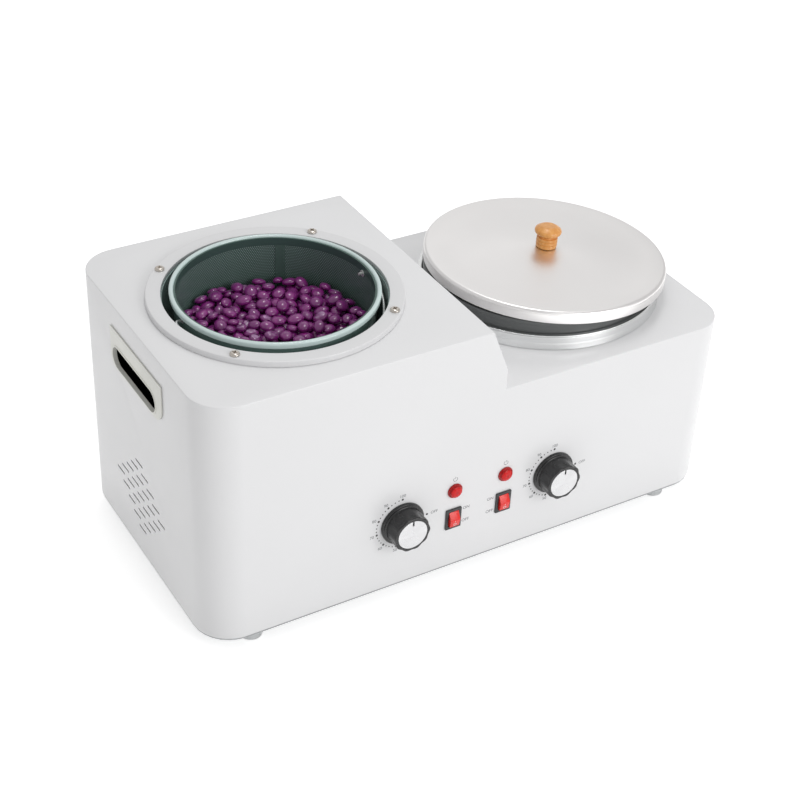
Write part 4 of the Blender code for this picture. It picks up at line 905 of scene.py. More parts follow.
def make_grips():
    """A flange outside the wall, and a neck through it that ends in a fine lip, round one oblong slot."""
    for side, sign in SIDES:
        node = f"grip_frame_{side}"
        _, width, height = span(node)
        x, y, z = middle(node)
        outer = x + sign * span(node).x / 2
        inner = outer - sign * GRIP_NECK
        centre = (GRIP_SLOT_BACK, -GRIP_SLOT_DROP)
        slot = rectangle(*GRIP_SLOT, GRIP_SLOT[1] / 2, centre, CORNER_STEPS)
        neck = rectangle(*NECK_SIZE, NECK_SIZE[1] / 2, centre, CORNER_STEPS)
        face = [(-width / 2, -height / 2, GRIP_FRONT_CORNER), (width / 2, -height / 2, GRIP_REAR_CORNER)]
        face += [(width / 2, height / 2, GRIP_TOP_CORNER), (-width / 2, height / 2, GRIP_TOP_CORNER)]
        place = (outer - sign * GRIP_FLANGE / 2, y, z)
        grip = slab(f"grip_{side}", [rounded(face)], GRIP_FLANGE, BEIGE, place, FACING_SIDE)
        settle(soften(grip, GRIP_FLANGE / 3))
        length = GRIP_NECK + GRIP_LIP_RISE
        place = (inner + sign * length / 2, y, z)
        weld(grip, neck, length, place, FACING_SIDE)
        cut(grip, [slot], length + 2 * OVERRUN, place, FACING_SIDE)
        dress(settle(grip), "housing", "beige_plastic", node)


def make_feet():
    """Clear bumpers with a screw recess in the underside."""
    for name in CORNERS:
        node = f"foot_{name}"
        place, radius, top = middle(node), reach(node), high_z(node)
        recess = top * FOOT_RECESS_SHARE
        profile = [(FOOT_HOLE, top, 0), (radius - FOOT_DRAFT, top, FOOT_DRAFT), (radius, 0, FOOT_ROUND)]
        profile += [(FOOT_RECESS_RADIUS, 0, FOOT_DRAFT), (FOOT_RECESS_RADIUS, recess, 0)]
        profile.append((FOOT_HOLE, recess, 0))
        foot = turned(f"bumper_{name}", profile, RUBBER, (place.x, place.y, 0), steps=MEDIUM_STEPS, ring=True)
        dress(foot, "housing", "foot_rubber", node)


def cross_head(name, radius, rise, location, turn, surface):
    """A pan head with a cross recess, its underside at its own origin."""
    profile = [(0, rise, 0), (radius * PAN_SHARE, rise, radius / 2), (radius, rise / 2, rise / 3)]
    profile += [(radius, 0, 0), (0, 0, 0)]
    head = turned(name, profile, surface, location, (0, 0, turn), MEDIUM_STEPS)
    arm, half = radius * CROSS_REACH_SHARE, radius * CROSS_WIDTH_SHARE
    cross = []
    for quarter in range(4):
        spin = Matrix.Rotation(quarter * math.pi / 2, 2)
        tip = half * CROSS_TAPER
        cross += [spin @ Vector(point) for point in ((half, -half), (arm, -tip), (arm, tip))]
    cut(head, [cross], rise * CROSS_DEPTH_SHARE, Vector(location) + Vector((0, 0, rise)), (0, 0, turn))
    return settle(head)


def make_ring():
    """The painted flange ring, flat on top with a rolled outer edge, and its four screws."""
    node = "left_flange_ring"
    outer, top, foot = reach(node), high_z(node), low_z(node)
    inner = outer - RING_WIDTH
    seat = top - RING_PLATE
    profile = [(inner, top, RING_ROUND / 2), (outer, top, RING_ROUND), (outer, foot, 0)]
    profile += [(outer - RING_SKIRT, foot, 0), (outer - RING_SKIRT, seat, 0), (inner, seat, RING_ROUND / 3)]
    ring = turned("flange_ring", profile, RING_PAINT, LEFT_POT, ring=True)
    dress(ring, "housing", "casing_paint", node)
    for k in range(1, RING_SCREW_COUNT + 1):
        node = f"ring_screw_{k}"
        place = middle(node)
        radius = reach(node)
        seat = (place.x, place.y, top + CLEARANCE)
        head = cross_head(f"flange_screw_{k}", radius, radius / 2, seat, SCREW_TURNS[k - 1], NICKEL)
        dress(head, "housing", "screw_nickel", node)


def make_vessel(name, node, inner, wall, surface):
    """An open vessel with a rounded floor, hung by a flat lip, in the space of its node."""
    x, y, _ = middle(node)
    top, foot, outer = high_z(node), low_z(node), reach(node)
    lip, wall_out = top - VESSEL_LIP, inner + wall
    profile = [(0, foot + wall, 0), (inner, foot + wall, FLOOR_ROUND), (inner, top, VESSEL_LIP / 2)]
    profile += [(outer, top, VESSEL_LIP / 2), (outer, lip, 0), (wall_out, lip, 0)]
    profile += [(wall_out, foot, FLOOR_ROUND + wall), (0, foot, 0)]
    return turned(name, profile, surface, (x, y, 0))


def make_tank():
    tank = make_vessel("wax_tank", "left_tank", TANK_RADIUS, TANK_WALL, TANK_COAT)
    dress(tank, "housing", "tank_coating", "left_tank")


def make_basket():
    """Rim, perforated cup with its plain top band and seam, and the eyelets of the bail."""
    place = LEFT_POT
    outer, top, foot = reach("basket_rim"), high_z("basket_rim"), low_z("basket_rim")
    inner = outer - BASKET_RIM_WIDTH
    profile = [(inner, top, BASKET_RIM_ROUND), (outer, top, BASKET_RIM_ROUND)]
    profile += [(outer, foot, BASKET_RIM_ROUND), (inner, foot, BASKET_RIM_ROUND / 4)]
    rim = turned("basket_top_rim", profile, RIM_COAT, place, ring=True)
    dress(rim, "filter_basket", "rim_paint", "basket_rim")
    outer, top, foot = reach("basket_cup"), high_z("basket_cup"), low_z("basket_cup")
    inner = outer - BASKET_WALL
    profile = [(0, foot + BASKET_WALL, 0), (inner, foot + BASKET_WALL, BASKET_FLOOR_ROUND), (inner, top, 0)]
    profile += [(outer, top, 0), (outer, foot, BASKET_FLOOR_ROUND + BASKET_WALL), (0, foot, 0)]
    cup = turned("perforated_cup", profile, CUP_COAT, place)
    dress(cup, "filter_basket", "basket_coating", "basket_cup")
    bands = [
        ("basket_band", BAND_COAT, inner - SKIN, inner - BAND_SHEET, BAND_HEIGHT),
        ("basket_sleeve", LIT_SLEEVE_COAT, outer + SKIN, outer + BAND_SHEET, SLEEVE_HEIGHT),
    ]
    for name, surface, near, far, height in bands:
        low = top - height
        profile = [(near, top, 0), (far, top, 0), (far, low, BAND_SHEET / 3), (near, low, 0)]
        dress(turned(name, profile, surface, place, ring=True), "filter_basket", "basket_coating")
    make_seam(inner, top, foot)
    make_eyelets()


def make_seam(inner, top, foot):
    """The overlap of the cup's sheet: a plain strip with two rows of spot welds."""
    half = SEAM_WIDTH / 2 / inner
    face = inner - BAND_SHEET
    start = foot + BASKET_WALL + BASKET_FLOOR_ROUND
    shape = bmesh.new()
    columns = []
    for k in range(SEAM_STEPS + 1):
        angle = SEAM_AZIMUTH + half * (2 * k / SEAM_STEPS - 1)
        column = []
        for radius in (inner - SKIN, face):
            for z in (start, top - BAND_HEIGHT - SKIN):
                column.append(shape.verts.new((radius * math.cos(angle), radius * math.sin(angle), z)))
        columns.append(column)
    for near, far in zip(columns, columns[1:]):
        for a, b in ((0, 1), (1, 3), (3, 2), (2, 0)):
            shape.faces.new((near[a], near[b], far[b], far[a]))
    for column in (columns[0], columns[-1]):
        shape.faces.new((column[0], column[1], column[3], column[2]))
    for side in (-1, 1):
        angle = SEAM_AZIMUTH + side * half * SEAM_SPOT_SHARE
        z = top - BAND_HEIGHT - SEAM_SPOT_STEP
        while z > start + SEAM_SPOT_STEP:
            spot = Matrix.Translation((face * math.cos(angle), face * math.sin(angle), z))
            bmesh.ops.create_icosphere(shape, subdivisions=2, radius=SEAM_SPOT, matrix=spot)
            z -= SEAM_SPOT_STEP
    bmesh.ops.recalc_face_normals(shape, faces=shape.faces)
    seam = smooth(add("basket_seam", closed(shape, "basket_seam"), CUP_SHEET, LEFT_POT))
    dress(seam, "filter_basket", "basket_coating")


def make_eyelets():
    pivot = Vector(joint("bail_swing")["pos_m"])
    cup = reach("basket_cup")
    for side, turn in (("right", BAIL_AZIMUTH), ("left", BAIL_AZIMUTH + math.pi)):
        outside, inside = cup + CLEARANCE, cup - BASKET_WALL - CLEARANCE - EYELET_FLANGE
        hole = BAIL_WIRE / 2 + CLEARANCE
        sleeve = (hole + EYELET_RADIUS) / 2
        flange = EYELET_FLANGE
        profile = [(hole, outside + flange, flange / 3), (EYELET_RADIUS, outside + flange, flange / 3)]
        profile += [(EYELET_RADIUS, outside, 0), (sleeve, outside, 0), (sleeve, inside + flange, 0)]
        profile += [(EYELET_RADIUS, inside + flange, 0), (EYELET_RADIUS, inside, flange / 3)]
        profile += [(hole, inside, flange / 3)]
        eyelet = turned(f"eyelet_{side}", profile, WIRE, pivot, (0, math.pi / 2, turn), SMALL_STEPS, True)
        dress(eyelet, "filter_basket", "bright_wire", f"bail_eyelet_{side}")


def make_bail():
    """A round wire: stubs through the eyelets, a tight bend, then half round the rim, lying down."""
    stub = reach("basket_cup") - BASKET_WALL - CLEARANCE - EYELET_FLANGE - BAIL_STUB
    radius = reach("basket_rim") + BAIL_CLEARANCE
    half = [Vector((stub, 0, 0))]
    for step in range(ARC_STEPS + 1):
        angle = math.pi / 2 * (1 - step / ARC_STEPS)
        across = radius - BAIL_BEND + BAIL_BEND * math.cos(angle)
        half.append(Vector((across, BAIL_BEND * (math.sin(angle) - 1), 0)))
    for step in range(1, BAIL_STEPS + 1):
        angle = math.pi / 2 * step / BAIL_STEPS
        forward = BAIL_BEND + (radius - BAIL_BEND) * math.sin(angle)
        half.append(Vector((radius * math.cos(angle), -forward, 0)))
    points = half + [Vector((-point.x, point.y, 0)) for point in reversed(half[:-1])]
    bail = tube("wire_bail", points, BAIL_WIRE / 2, WIRE, joint("bail_swing")["pos_m"],
                (BAIL_TILT, 0, BAIL_AZIMUTH))
    dress(bail, "bail", "bright_wire", "basket_bail")


def make_right_station():
    place = RIGHT_POT
    node = "right_collar"
    outer, top, foot = reach(node), high_z(node), low_z(node)
    inner = WELL_RADIUS + WELL_WALL + CLEARANCE
    waist = (outer - COLLAR_FLARE, (top + foot) / 2, COLLAR_FLARE)
    profile = [(inner, top, 0), (outer - COLLAR_FLARE, top, COLLAR_FLARE / 4), waist]
    profile += [(outer, foot, COLLAR_FLARE / 4), (inner, foot, 0)]
    collar = turned("well_collar", profile, COLLAR_METAL, place, ring=True)
    dress(collar, "housing", "spun_aluminium", node)
    well = make_vessel("wax_well", "right_well", WELL_RADIUS, WELL_WALL, COLLAR_METAL)
    dress(well, "housing", "spun_aluminium", "right_well")
    node = "inner_pot"
    outer, top, foot = reach(node), high_z(node), low_z(node)
    wall_out = WELL_RADIUS - POT_CLEARANCE
    inside = wall_out - POT_WALL
    lip = top - POT_RIM_DEPTH
    profile = [(0, foot + POT_WALL, 0), (inside, foot + POT_WALL, FLOOR_ROUND), (inside, lip, POT_WALL)]
    profile += [(outer - POT_RIM_WIDTH, lip, 0), (outer - POT_RIM_WIDTH, top, POT_RIM_ROUND / 2)]
    profile += [(outer, top, POT_RIM_ROUND), (outer, lip, POT_RIM_ROUND / 4), (wall_out, lip, 0)]
    profile += [(wall_out, foot, FLOOR_ROUND + POT_WALL), (0, foot, 0)]
    dress(turned("wax_pot", profile, POT_COAT, place), "pot", "pot_coating", node)


def standing_axes(node):
    """Where the axis of a turned, tilted node stands: a matrix with its Z along the axis and its origin
    in the middle of the node's corners, and the lowest, highest and widest of the node in it."""
    points = numpy.array([tuple(vertex.co) for vertex in frame["nodes"][node].data.vertices])
    centre = points.mean(axis=0)
    normal = Vector(numpy.linalg.svd(points - centre, full_matrices=False)[2][-1])
    if normal.z < 0:
        normal.negate()
    turn = Vector((0, 0, 1)).rotation_difference(normal).to_matrix().to_4x4()
    stand = Matrix.Translation(centre) @ turn
    local = numpy.array([tuple(stand.inverted() @ Vector(point)) for point in points])
    return stand, local[:, 2].min(), local[:, 2].max(), numpy.hypot(local[:, 0], local[:, 1]).max()


def lid_crown(radius):
    """Height of the lid's crown over its flat border."""
    share = min(1, radius / LID_CROWN_RADIUS)
    return LID_CROWN * (1 - share**2) ** 2


def make_lid():
    """The spun lid, tilted as its node is, and the wooden knob on it."""
    stand, low, high, radius = standing_axes("lid")
    pose = stand @ Matrix.Translation((0, 0, high - LID_CROWN))
    depth = high - low - LID_CROWN
    inner = radius - LID_SHEET
    groove = (LID_GROOVE_DROP, LID_GROOVE_DROP + LID_GROOVE)
    crown = [LID_CROWN_RADIUS * k / LID_CROWN_STEPS for k in range(LID_CROWN_STEPS + 1)]
    profile = [(out, lid_crown(out), 0) for out in crown]
    profile += [(radius, 0, LID_ROUND), (radius, -groove[0], 0), (radius - LID_GROOVE, -groove[0], 0)]
    profile += [(radius - LID_GROOVE, -groove[1], 0), (radius, -groove[1], 0)]
    profile += [(radius, -depth, LID_HEM / 2), (inner, -depth, LID_HEM / 3)]
    profile += [(inner, -LID_SHEET, LID_ROUND - LID_SHEET)]
    profile += [(out, lid_crown(out) - LID_SHEET, 0) for out in reversed(crown)]
    lid = turned("spun_lid", profile, LID_METAL)
    lid.matrix_world = pose
    dress(lid, "pot_lid", "spun_aluminium", "lid")
    knob = turned("wooden_knob", KNOB_PROFILE, WOOD, arc=KNOB_ARC_STEPS)
    knob.matrix_world = pose @ Matrix.Translation((0, 0, LID_CROWN + CLEARANCE))
    dress(knob, "pot_lid", "turned_wood", "lid_knob")


def joint(name):
    return next(entry for entry in frame["joints"] if entry["name"] == name)


def make_dials():
    """Fluted knobs with a skirt, each with a spun cap let into its face."""
    face = DIAL_REACH - CAP_PROUD
    back = DIAL_REACH - CAP_THICKNESS
    recess = back - CLEARANCE
    rim = CAP_RADIUS + CLEARANCE

    def flutes(angle, radius, height):
        if radius < DIAL_RADIUS - DIAL_FLUTE_DEPTH - CLEARANCE or height < DIAL_FLUTE_START:
            return radius
        share = min(1, (height - DIAL_FLUTE_START) / (DIAL_FLUTE_END - DIAL_FLUTE_START))
        return radius - DIAL_FLUTE_DEPTH * share * (1 - math.cos(DIAL_FLUTES * angle)) / 2

    for side, _ in SIDES:
        x, _, z = middle(f"{side}_dial_cap")
        profile = [(0, recess, 0), (rim, recess, 0), (rim, face, DIAL_RECESS_ROUND)]
        profile.append((DIAL_RADIUS, face, DIAL_ROUND))
        for k in range(1, DIAL_WALL_STEPS):
            profile.append((DIAL_RADIUS, face - (face - DIAL_FLUTE_START) * k / DIAL_WALL_STEPS, 0))
        profile += [(DIAL_RADIUS, SKIRT_DEPTH, SKIRT_DEPTH / 2), (SKIRT_RADIUS, SKIRT_DEPTH, SKIRT_DEPTH / 3)]
        profile += [(SKIRT_RADIUS, 0, 0), (0, 0, 0)]
        seat = (x, FRONT_Y - CLEARANCE, z)
        knob = turned(f"{side}_fluted_knob", profile, BLACK, seat, FACING_FRONT, wave=flutes)
        dress(knob, f"{side}_dial", "black_plastic", f"{side}_dial_knob")
        profile = [(0, DIAL_REACH, 0), (CAP_RADIUS, DIAL_REACH, CAP_THICKNESS / 3)]
        profile += [(CAP_RADIUS, back, 0), (0, back, 0)]
        cap = turned(f"{side}_spun_cap", profile, CAP_METAL, (x, FRONT_Y, z), FACING_FRONT)
        slot = rectangle(POINTER_WIDTH, 2 * POINTER_LENGTH, POINTER_WIDTH / 3, (0, CAP_RADIUS))
        cut(cap, [slot], 2 * OVERRUN, (x, FRONT_Y - DIAL_REACH, z))
        dress(settle(cap), f"{side}_dial", "spun_aluminium", f"{side}_dial_cap")


def make_switches():
    """Snap-in housings with a bevelled frame and a deep pocket, each with a ridged red key."""
    for side, _ in SIDES:
        node = f"{side}_switch_housing"
        low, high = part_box(node)
        x, _, z = middle(node)
        width, depth, height = span(node)
        outline = rectangle(width, height, BEZEL_ROUND)
        seat = (x, low[1] + BEZEL_THICKNESS / 2, z)
        housing = slab(f"{side}_switch_frame", [outline], BEZEL_THICKNESS, SWITCH_BLACK, seat, FACING_FRONT)
        settle(soften(housing, BEZEL_ROUND / 2))
        body = rectangle(width - 2 * SWITCH_MARGIN, height - 2 * SWITCH_MARGIN, CLEARANCE)
        length = depth - BEZEL_THICKNESS / 2
        weld(housing, body, length, (x, high[1] - length / 2, z))
        pocket = (width - 2 * POCKET_MARGIN, height - 2 * POCKET_MARGIN)
        cut(housing, [rectangle(*pocket, CLEARANCE)], 2 * POCKET_DEPTH, (x, low[1], z))
        dress(settle(housing), "housing", "black_plastic", node)
        make_rocker(side, *pocket)


def make_rocker(side, pocket_width, pocket_height):
    """A key with a rounded ridge, its upper half pressed in, and white marks on its lower half."""
    name = f"{side}_rocker"
    pivot = Vector(joint(f"{side}_switch_tilt")["pos_m"])
    half = pocket_height / 2 - ROCKER_CLEARANCE
    width = pocket_width - 2 * ROCKER_CLEARANCE
    ridge, end, back = ROCKER_RIDGE, ROCKER_END, half * ROCKER_BACK_SHARE
    outline = [(-ridge, 0, ROCKER_ROUND * 2), (-end, half, ROCKER_ROUND), (ROCKER_BACK, back, 0)]
    outline += [(ROCKER_BACK, -back, 0), (-end, -half, ROCKER_ROUND)]
    key = slab(f"{name}_key", [rounded(outline)], width, RED, pivot, FACING_SIDE)
    settle(soften(key, ROCKER_ROUND))
    tilt = Matrix.Rotation(-ROCKER_TILT, 4, "X")
    key.rotation_euler = (tilt @ key.rotation_euler.to_matrix().to_4x4()).to_euler()
    dress(key, f"{side}_switch_key", "red_plastic", name)
    slope = math.atan2(ridge - end, half)
    face = Matrix.Translation(pivot) @ tilt @ Matrix.Translation((0, -ridge, 0))
    face = face @ Matrix.Rotation(slope, 4, "X") @ Matrix.Rotation(math.pi / 2, 4, "X")
    ring = [circle(radius, (0, -MARK_DROP)) for radius in (MARK_RADIUS, MARK_RADIUS - MARK_LINE)]
    bar = [rectangle(MARK_LINE, MARK_BAR, 0, (0, -MARK_BAR_DROP))]
    mark = fuse(f"{name}_marks", [slab("ring", ring, SKIN), slab("bar", bar, SKIN)], WHITE_INK)
    mark.matrix_world = face @ Matrix.Translation((0, 0, SKIN))
    dress(mark, f"{side}_switch_key", "red_plastic")


def fuse(name, pieces, surface):
    """Several thin outlines as one piece."""
    shape = bmesh.new()
    for piece in pieces:
        mesh = piece.data
        mesh.transform(piece.matrix_basis)
        shape.from_mesh(mesh)
        bpy.data.objects.remove(piece)
    return add(name, closed(shape, name), surface)


def make_lamps():
    """Domed red lenses with a flat crown."""
    for side, _ in SIDES:
        node = f"{side}_lamp_lens"
        x, y, z = middle(node)
        radius, top = reach(node), span(node).y
        profile = [(0, top, 0), (LENS_CROWN, top, LENS_CROWN / 2)]
        profile += [(LENS_DOME, top - LENS_SHOULDER, LENS_SHOULDER)]
        profile += [(LENS_DOME + LENS_DRAFT, LENS_FLANGE, LENS_DRAFT), (radius, LENS_FLANGE, LENS_DRAFT)]
        profile += [(radius, 0, 0), (0, 0, 0)]
        lens = turned(f"{side}_lens", profile, LENS, (x, y + top / 2, z), FACING_FRONT, MEDIUM_STEPS)
        dress(lens, "housing", "red_lens", node)


def make_inlet():
    """The appliance inlet: a flange with a body behind it and a keyed socket."""
    node = "mains_inlet"
    low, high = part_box(node)
    x, _, z = middle(node)
    width, depth, height = span(node)
    thickness = high[1] - BACK_Y - CLEARANCE
    outline = rectangle(width, height, INLET_CORNER)
    face = slab("inlet", [outline], thickness, BLACK, (x, high[1] - thickness / 2, z), FACING_FRONT)
    settle(soften(face, INLET_CORNER / 4))
    length = depth - thickness / 2
    body = rectangle(width - INLET_MARGIN, height - INLET_BODY_DROP, CLEARANCE)
    weld(face, body, length, (x, low[1] + length / 2, z))
    half_width, half_height = (size / 2 for size in SOCKET_SIZE)
    socket = rounded([(half_width * out, half_height * up, radius) for out, up, radius in SOCKET_CORNERS])
    cut(face, [socket], 2 * SOCKET_DEPTH, (x, high[1], z))
    for pin in PINS:
        size = span(f"inlet_pin_{pin}")
        hole = rectangle(size.x + 2 * CLEARANCE, size.z + 2 * CLEARANCE, 0)
        cut(face, [hole], size.y + OVERRUN, middle(f"inlet_pin_{pin}"))
    dress(settle(face), "housing", "black_plastic", node)


def lettering(text, x, z, size):
    """Plain upright letters, flat on the front panel."""
    curve = bpy.data.curves.new(text, "FONT")
    curve.body = text
    curve.size = size
    curve.align_x = "CENTER"
    curve.align_y = "CENTER"
    curve.extrude = SKIN / 2
    return add(text, from_curve(text, curve), None, (x, z, 0))


def print_on_panel(name, pieces, surface):
    """Print a skin's thickness proud of the front panel."""
    made = fuse(name, pieces, surface)
    made.location = (0, FRONT_Y - SKIN, 0)
    made.rotation_euler = FACING_FRONT
    return dress(made, "housing", "casing_paint")


def make_print():
    """Dots and plain numbers round the dials, ON and OFF at the switches, a round mark at the lamps."""
    for side, sign in SIDES:
        dial = middle(f"{side}_dial_cap")
        dots, words = [], []
        for k in range(DIAL_NUMBERS):
            angle = DIAL_FIRST - k * DIAL_STEP
            dots.append(dot(dial, DOT_CIRCLE, angle, DOT_MAJOR))
            out = NUMBER_CIRCLE + NUMBER_LEAN * abs(math.cos(angle))
            x, z = dial.x + out * math.cos(angle), dial.z + out * math.sin(angle)
            words.append(lettering(str(NUMBER_START + k * NUMBER_STEP), x, z, NUMBER_SIZE))
            if k:
                for between in MINOR_SHARES:
                    dots.append(dot(dial, DOT_CIRCLE, angle + DIAL_STEP * between, DOT_MINOR))
        dots.append(dot(dial, DOT_CIRCLE, 0, DOT_MAJOR))
        words.append(lettering("OFF", dial.x + OFF_REACH, dial.z, NUMBER_SIZE))
        print_on_panel(f"{side}_dial_dots", dots, DARK_INK)
        print_on_panel(f"{side}_dial_numbers", words, INK)
        switch = middle(f"{side}_switch_housing")
        words = []
        x = switch.x - sign * SWITCH_WORD_REACH
        for text, rise in (("ON", SWITCH_WORD_RISE), ("OFF", -SWITCH_WORD_RISE)):
            words.append(lettering(text, x, switch.z + rise, SWITCH_WORD_SIZE))
        print_on_panel(f"{side}_switch_words", words, INK)
        lamp = middle(f"{side}_lamp_lens")
        print_on_panel(f"{side}_lamp_mark", power_mark(lamp.x, lamp.z + LAMP_MARK_RISE), INK)


def dot(centre, radius, angle, size):
    place = (centre.x + radius * math.cos(angle), centre.z + radius * math.sin(angle))
    return slab("dot", [circle(size, place, SMALL_STEPS)], SKIN)


def power_mark(x, z):
    """An open ring with a bar in its gap."""
    points = []
    sweep = 2 * math.pi - 2 * MARK_GAP
    for radius, order in ((LAMP_MARK, 1), (LAMP_MARK - LAMP_MARK_LINE, -1)):
        for k in range(SMALL_STEPS + 1)[::order]:
            angle = math.pi / 2 + MARK_GAP + sweep * k / SMALL_STEPS
            points.append((x + radius * math.cos(angle), z + radius * math.sin(angle)))
    bar = rectangle(LAMP_MARK_LINE, LAMP_MARK, 0, (x, z + LAMP_MARK * LAMP_BAR_SHARE))
    return [slab("ring", [points], SKIN), slab("bar", [bar], SKIN)]


class Heap:
    """Beads dropped one by one: each goes to the lowest of a few spots and lies on what is under it."""

    def __init__(self, radius, floor, seed):
        self.radius = radius
        self.random = numpy.random.default_rng(seed)
        self.count = int(2 * radius / HEAP_CELL) + 2 * HEAP_MARGIN
        self.axis = (numpy.arange(self.count) - (self.count - 1) / 2) * HEAP_CELL
        self.height = numpy.full((self.count, self.count), floor)

    def window(self, x, y, size):
        span = int(size / HEAP_CELL) + 1
        i = int(round(x / HEAP_CELL + (self.count - 1) / 2))
        j = int(round(y / HEAP_CELL + (self.count - 1) / 2))
        return slice(i - span, i + span + 1), slice(j - span, j + span + 1)

    def slope(self, x, y, size):
        """Gradient of the heap under a spot."""
        rows, columns = self.window(x, y, size)
        patch = self.height[rows, columns]
        dx = (self.axis[rows] - x)[:, None] * numpy.ones_like(patch)
        dy = (self.axis[columns] - y)[None, :] * numpy.ones_like(patch)
        inside = dx**2 + dy**2 < size**2
        level = patch - patch[inside].mean()
        fall_x = (level * dx)[inside].sum() / (dx**2)[inside].sum()
        fall_y = (level * dy)[inside].sum() / (dy**2)[inside].sum()
        return fall_x, fall_y

    def surfaces(self, x, y, axes, turn):
        """Top and underside heights of a tilted ellipsoid over the cells that it covers."""
        rows, columns = self.window(x, y, max(axes))
        form = turn @ numpy.diag([1 / axis**2 for axis in axes]) @ turn.T
        dx = (self.axis[rows] - x)[:, None]
        dy = (self.axis[columns] - y)[None, :]
        linear = form[0, 2] * dx + form[1, 2] * dy
        rest = form[0, 0] * dx**2 + 2 * form[0, 1] * dx * dy + form[1, 1] * dy**2 - 1
        root = linear**2 - form[2, 2] * rest
        covered = root > 0
        root = numpy.sqrt(numpy.where(covered, root, 0))
        return rows, columns, covered, (-linear + root) / form[2, 2], (-linear - root) / form[2, 2]

    def drop(self, size, share):
        """Places one bead and returns its matrix."""
        best = None
        for _ in range(HEAP_TRIES):
            out = (self.radius - size) * math.sqrt(self.random.random())
            around = self.random.uniform(0, 2 * math.pi)
            x, y = out * math.cos(around), out * math.sin(around)
            fall = Vector((*self.slope(x, y, size), 0)) * share
            if fall.length > HEAP_LEAN:
                fall *= HEAP_LEAN / fall.length
            normal = Vector((-fall.x, -fall.y, 1))
            spin = Matrix.Rotation(self.random.uniform(0, 2 * math.pi), 3, "Z")
            turn = Vector((0, 0, 1)).rotation_difference(normal).to_matrix() @ spin
            axes = (size, size * BEAD_OVAL, size * BEAD_FLATNESS)
            surfaces = self.surfaces(x, y, axes, numpy.array(turn))
            rows, columns, covered, top, under = surfaces
            rest = (self.height[rows, columns] - under)[covered].max()
            if best is None or rest < best[0]:
                best = (rest, x, y, turn, surfaces)
        rest, x, y, turn, (rows, columns, covered, top, _) = best
        patch = self.height[rows, columns]
        patch[covered] = numpy.maximum(patch[covered], (rest + top)[covered])
        return Matrix.Translation((x, y, rest)) @ turn.to_4x4()


def bead_rings():
    """A domed drop with a nearly flat underside, as (radius share, height share, flat) rings."""
    rings = []
    for k in range(1, BEAD_DOME_RINGS + 1):
        angle = math.pi / 2 * (1 - k / (BEAD_DOME_RINGS + 1))
        rings.append((math.cos(angle), math.sin(angle) * BEAD_DOME - BEAD_DOME + 1, 0))
    for k in range(BEAD_FOOT_RINGS):
        angle = math.pi / 2 * k / BEAD_FOOT_RINGS
        drop = (2 - BEAD_DOME) * math.sin(angle) ** BEAD_DROP_POWER
        rings.append((math.cos(angle) ** BEAD_EDGE_POWER, 1 - BEAD_DOME - drop, 0))
    return rings + [(share, -1, 1) for share in BEAD_FLAT_SHARES]


def make_beads():
    """Loose wax beads over a bed of wax, lying in the basket a little under its rim."""
    inner = reach("basket_cup") - BASKET_WALL
    floor = low_z("basket_cup") + BASKET_WALL + CLEARANCE
    bed = TALL_Z - BEAD_BED_DROP
    edge = inner - CLEARANCE
    profile = [(0, bed, 0), (edge, bed, BEAD_SIZE[0]), (edge, floor, FLOOR_ROUND), (0, floor, 0)]
    dress(turned("wax_bed", profile, WAX, LEFT_POT, steps=MEDIUM_STEPS), "filter_basket", "basket_coating")
    heap = Heap(edge, bed, BEAD_SEED)
    rings = bead_rings()
    shape = bmesh.new()
    tone = shape.verts.layers.float_color.new("tone")
    for _ in range(BEAD_COUNT):
        size = heap.random.triangular(*BEAD_SIZE)
        pose = heap.drop(size, BEAD_SETTLE)
        flip = heap.random.random() < BEAD_FLIPPED
        lighter = heap.random.random() ** 2 * BEAD_TONE
        if flip:
            pose = pose @ Matrix.Rotation(math.pi, 4, "X")
        add_bead(shape, tone, pose, size, rings, lighter)
    beads = smooth(add("wax_beads", closed(shape, "wax_beads"), WAX, LEFT_POT), math.pi)
    dress(beads, "filter_basket", "basket_coating")


def add_bead(shape, tone, pose, size, rings, lighter):
    """One bead's mesh, with its share of the lighter tone and of the pale flat side in its colour."""
    thick = size * BEAD_FLATNESS

    def corner(share, around, rise, flat):
        out = share * size
        spot = (out * math.cos(around), out * BEAD_OVAL * math.sin(around), rise * thick)
        made = shape.verts.new(pose @ Vector(spot))
        made[tone] = (lighter, flat, 0, 1)
        return made

    top = corner(0, 0, 1, 0)
    layers = []
    for share, rise, flat in rings:
        layers.append([corner(share, 2 * math.pi * k / BEAD_SIDES, rise, flat) for k in range(BEAD_SIDES)])
    foot = corner(0, 0, -1, 1)
    for k in range(BEAD_SIDES):
        j = (k + 1) % BEAD_SIDES
        shape.faces.new((top, layers[0][k], layers[0][j]))
        shape.faces.new((foot, layers[-1][j], layers[-1][k]))
        for upper, lower in zip(layers, layers[1:]):
            shape.faces.new((upper[k], lower[k], lower[j], upper[j]))


def finish_hidden_nodes():
    """CAD nodes that keep their own shape."""
    for node, surface in (("base_plate", SHEET_GREY), ("lid_screw", NICKEL), ("terminal_block", BEIGE)):
        finish_node(node, surface)
    for name in CORNERS:
        finish_node(f"foot_screw_{name}", NICKEL)
    for pin in PINS:
        finish_node(f"inlet_pin_{pin}", BRASS)
    surfaces = {"heater_plate": SHEET_GREY, "heater_bolt": NICKEL, "insulation_sleeve": SHADED_WOOL,
                "dial_shaft": NICKEL, "thermostat": BEIGE, "sensing_bulb": COPPER, "lamp_body": BLACK,
                "heater_lead": LEAD}
    for side, _ in SIDES:
        for node, surface in surfaces.items():
            finish_node(f"{side}_{node}", surface)


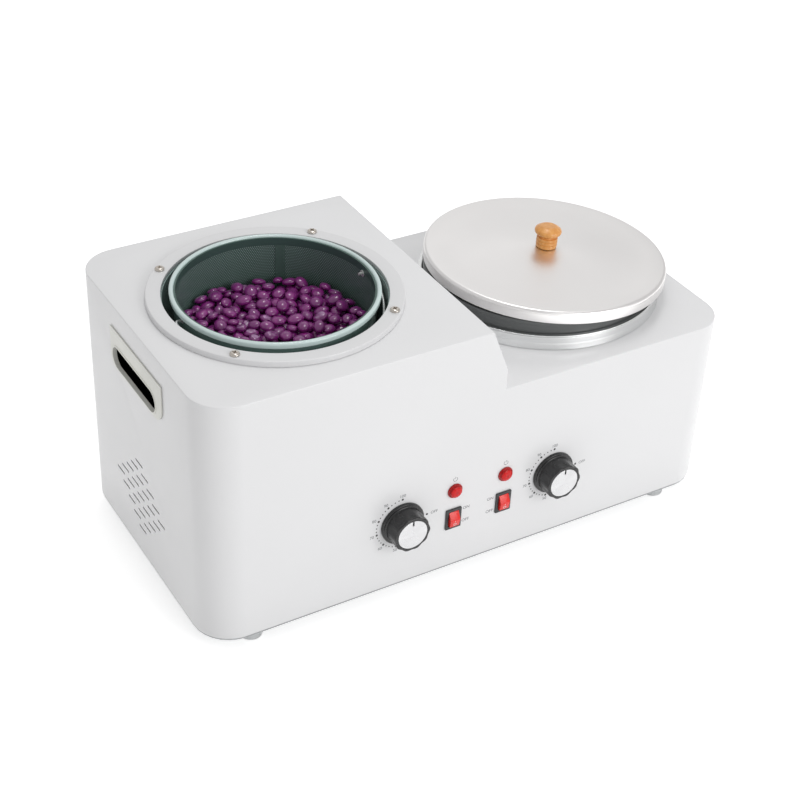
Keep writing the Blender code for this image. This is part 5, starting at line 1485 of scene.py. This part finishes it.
def make_camera():
    data = bpy.data.cameras.new("Camera")
    data.lens = CAMERA_LENS
    data.sensor_width = SENSOR_WIDTH
    camera = bpy.data.objects.new("Camera", data)
    camera.location = CAMERA_PLACE
    camera.rotation_euler = CAMERA_TURN
    bpy.context.scene.collection.objects.link(camera)
    bpy.context.scene.camera = camera


def soft_lamp(name, place, size, power):
    """A square area lamp that faces the middle of the object."""
    data = bpy.data.lights.new(name, "AREA")
    data.shape = "SQUARE"
    data.size = size
    data.energy = power
    lamp = bpy.data.objects.new(name, data)
    lamp.location = place
    aim = Vector((0, 0, LAMP_AIM_Z)) - Vector(place)
    lamp.rotation_euler = aim.to_track_quat("-Z", "Y").to_euler()
    bpy.context.scene.collection.objects.link(lamp)


def make_world():
    """White for the camera, and a soft plain grey sky for the light on the object."""
    world = bpy.data.worlds.new("Studio")
    bpy.context.scene.world = world
    world.use_nodes = True
    tree = world.node_tree
    sky = tree.nodes["Background"]
    sky.inputs["Color"].default_value = (*SKY_COLOUR, 1)
    sky.inputs["Strength"].default_value = SKY_STRENGTH
    white = tree.nodes.new("ShaderNodeBackground")
    white.inputs["Color"].default_value = (1, 1, 1, 1)
    path = tree.nodes.new("ShaderNodeLightPath")
    seen = tree.nodes.new("ShaderNodeMath")
    seen.operation = "MAXIMUM"
    tree.links.new(path.outputs["Is Camera Ray"], seen.inputs[0])
    tree.links.new(path.outputs["Is Transmission Ray"], seen.inputs[1])
    mix = tree.nodes.new("ShaderNodeMixShader")
    tree.links.new(seen.outputs[0], mix.inputs["Fac"])
    tree.links.new(sky.outputs[0], mix.inputs[1])
    tree.links.new(white.outputs[0], mix.inputs[2])
    tree.links.new(mix.outputs[0], tree.nodes["World Output"].inputs["Surface"])


def make_floor():
    """A white floor that keeps the object's shadow and looks white to the camera."""
    shape = bmesh.new()
    bmesh.ops.create_grid(shape, x_segments=1, y_segments=1, size=FLOOR_REACH)
    surface = Surface("Floor", FLOOR_COLOUR, FLOOR_ROUGHNESS)
    path = surface.node("ShaderNodeLightPath")
    seen = surface.math("MAXIMUM", path.outputs["Is Camera Ray"], path.outputs["Is Glossy Ray"])
    surface.link(surface.math("MULTIPLY", seen, FLOOR_GLOW), surface.shader.inputs["Emission Strength"])
    surface.set("Emission Color", (1, 1, 1, 1))
    add("floor", closed(shape, "floor"), surface)


make_camera()
make_casing()
make_grips()
make_feet()
make_ring()
make_tank()
make_basket()
make_bail()
make_right_station()
make_lid()
make_dials()
make_switches()
make_lamps()
make_inlet()
make_print()
make_beads()
finish_hidden_nodes()
make_world()
make_floor()
soft_lamp("front lamp", *FRONT_LAMP)
soft_lamp("top lamp", *TOP_LAMP)
soft_lamp("back lamp", *BACK_LAMP)

bpy.context.scene.view_settings.view_transform = "Standard"
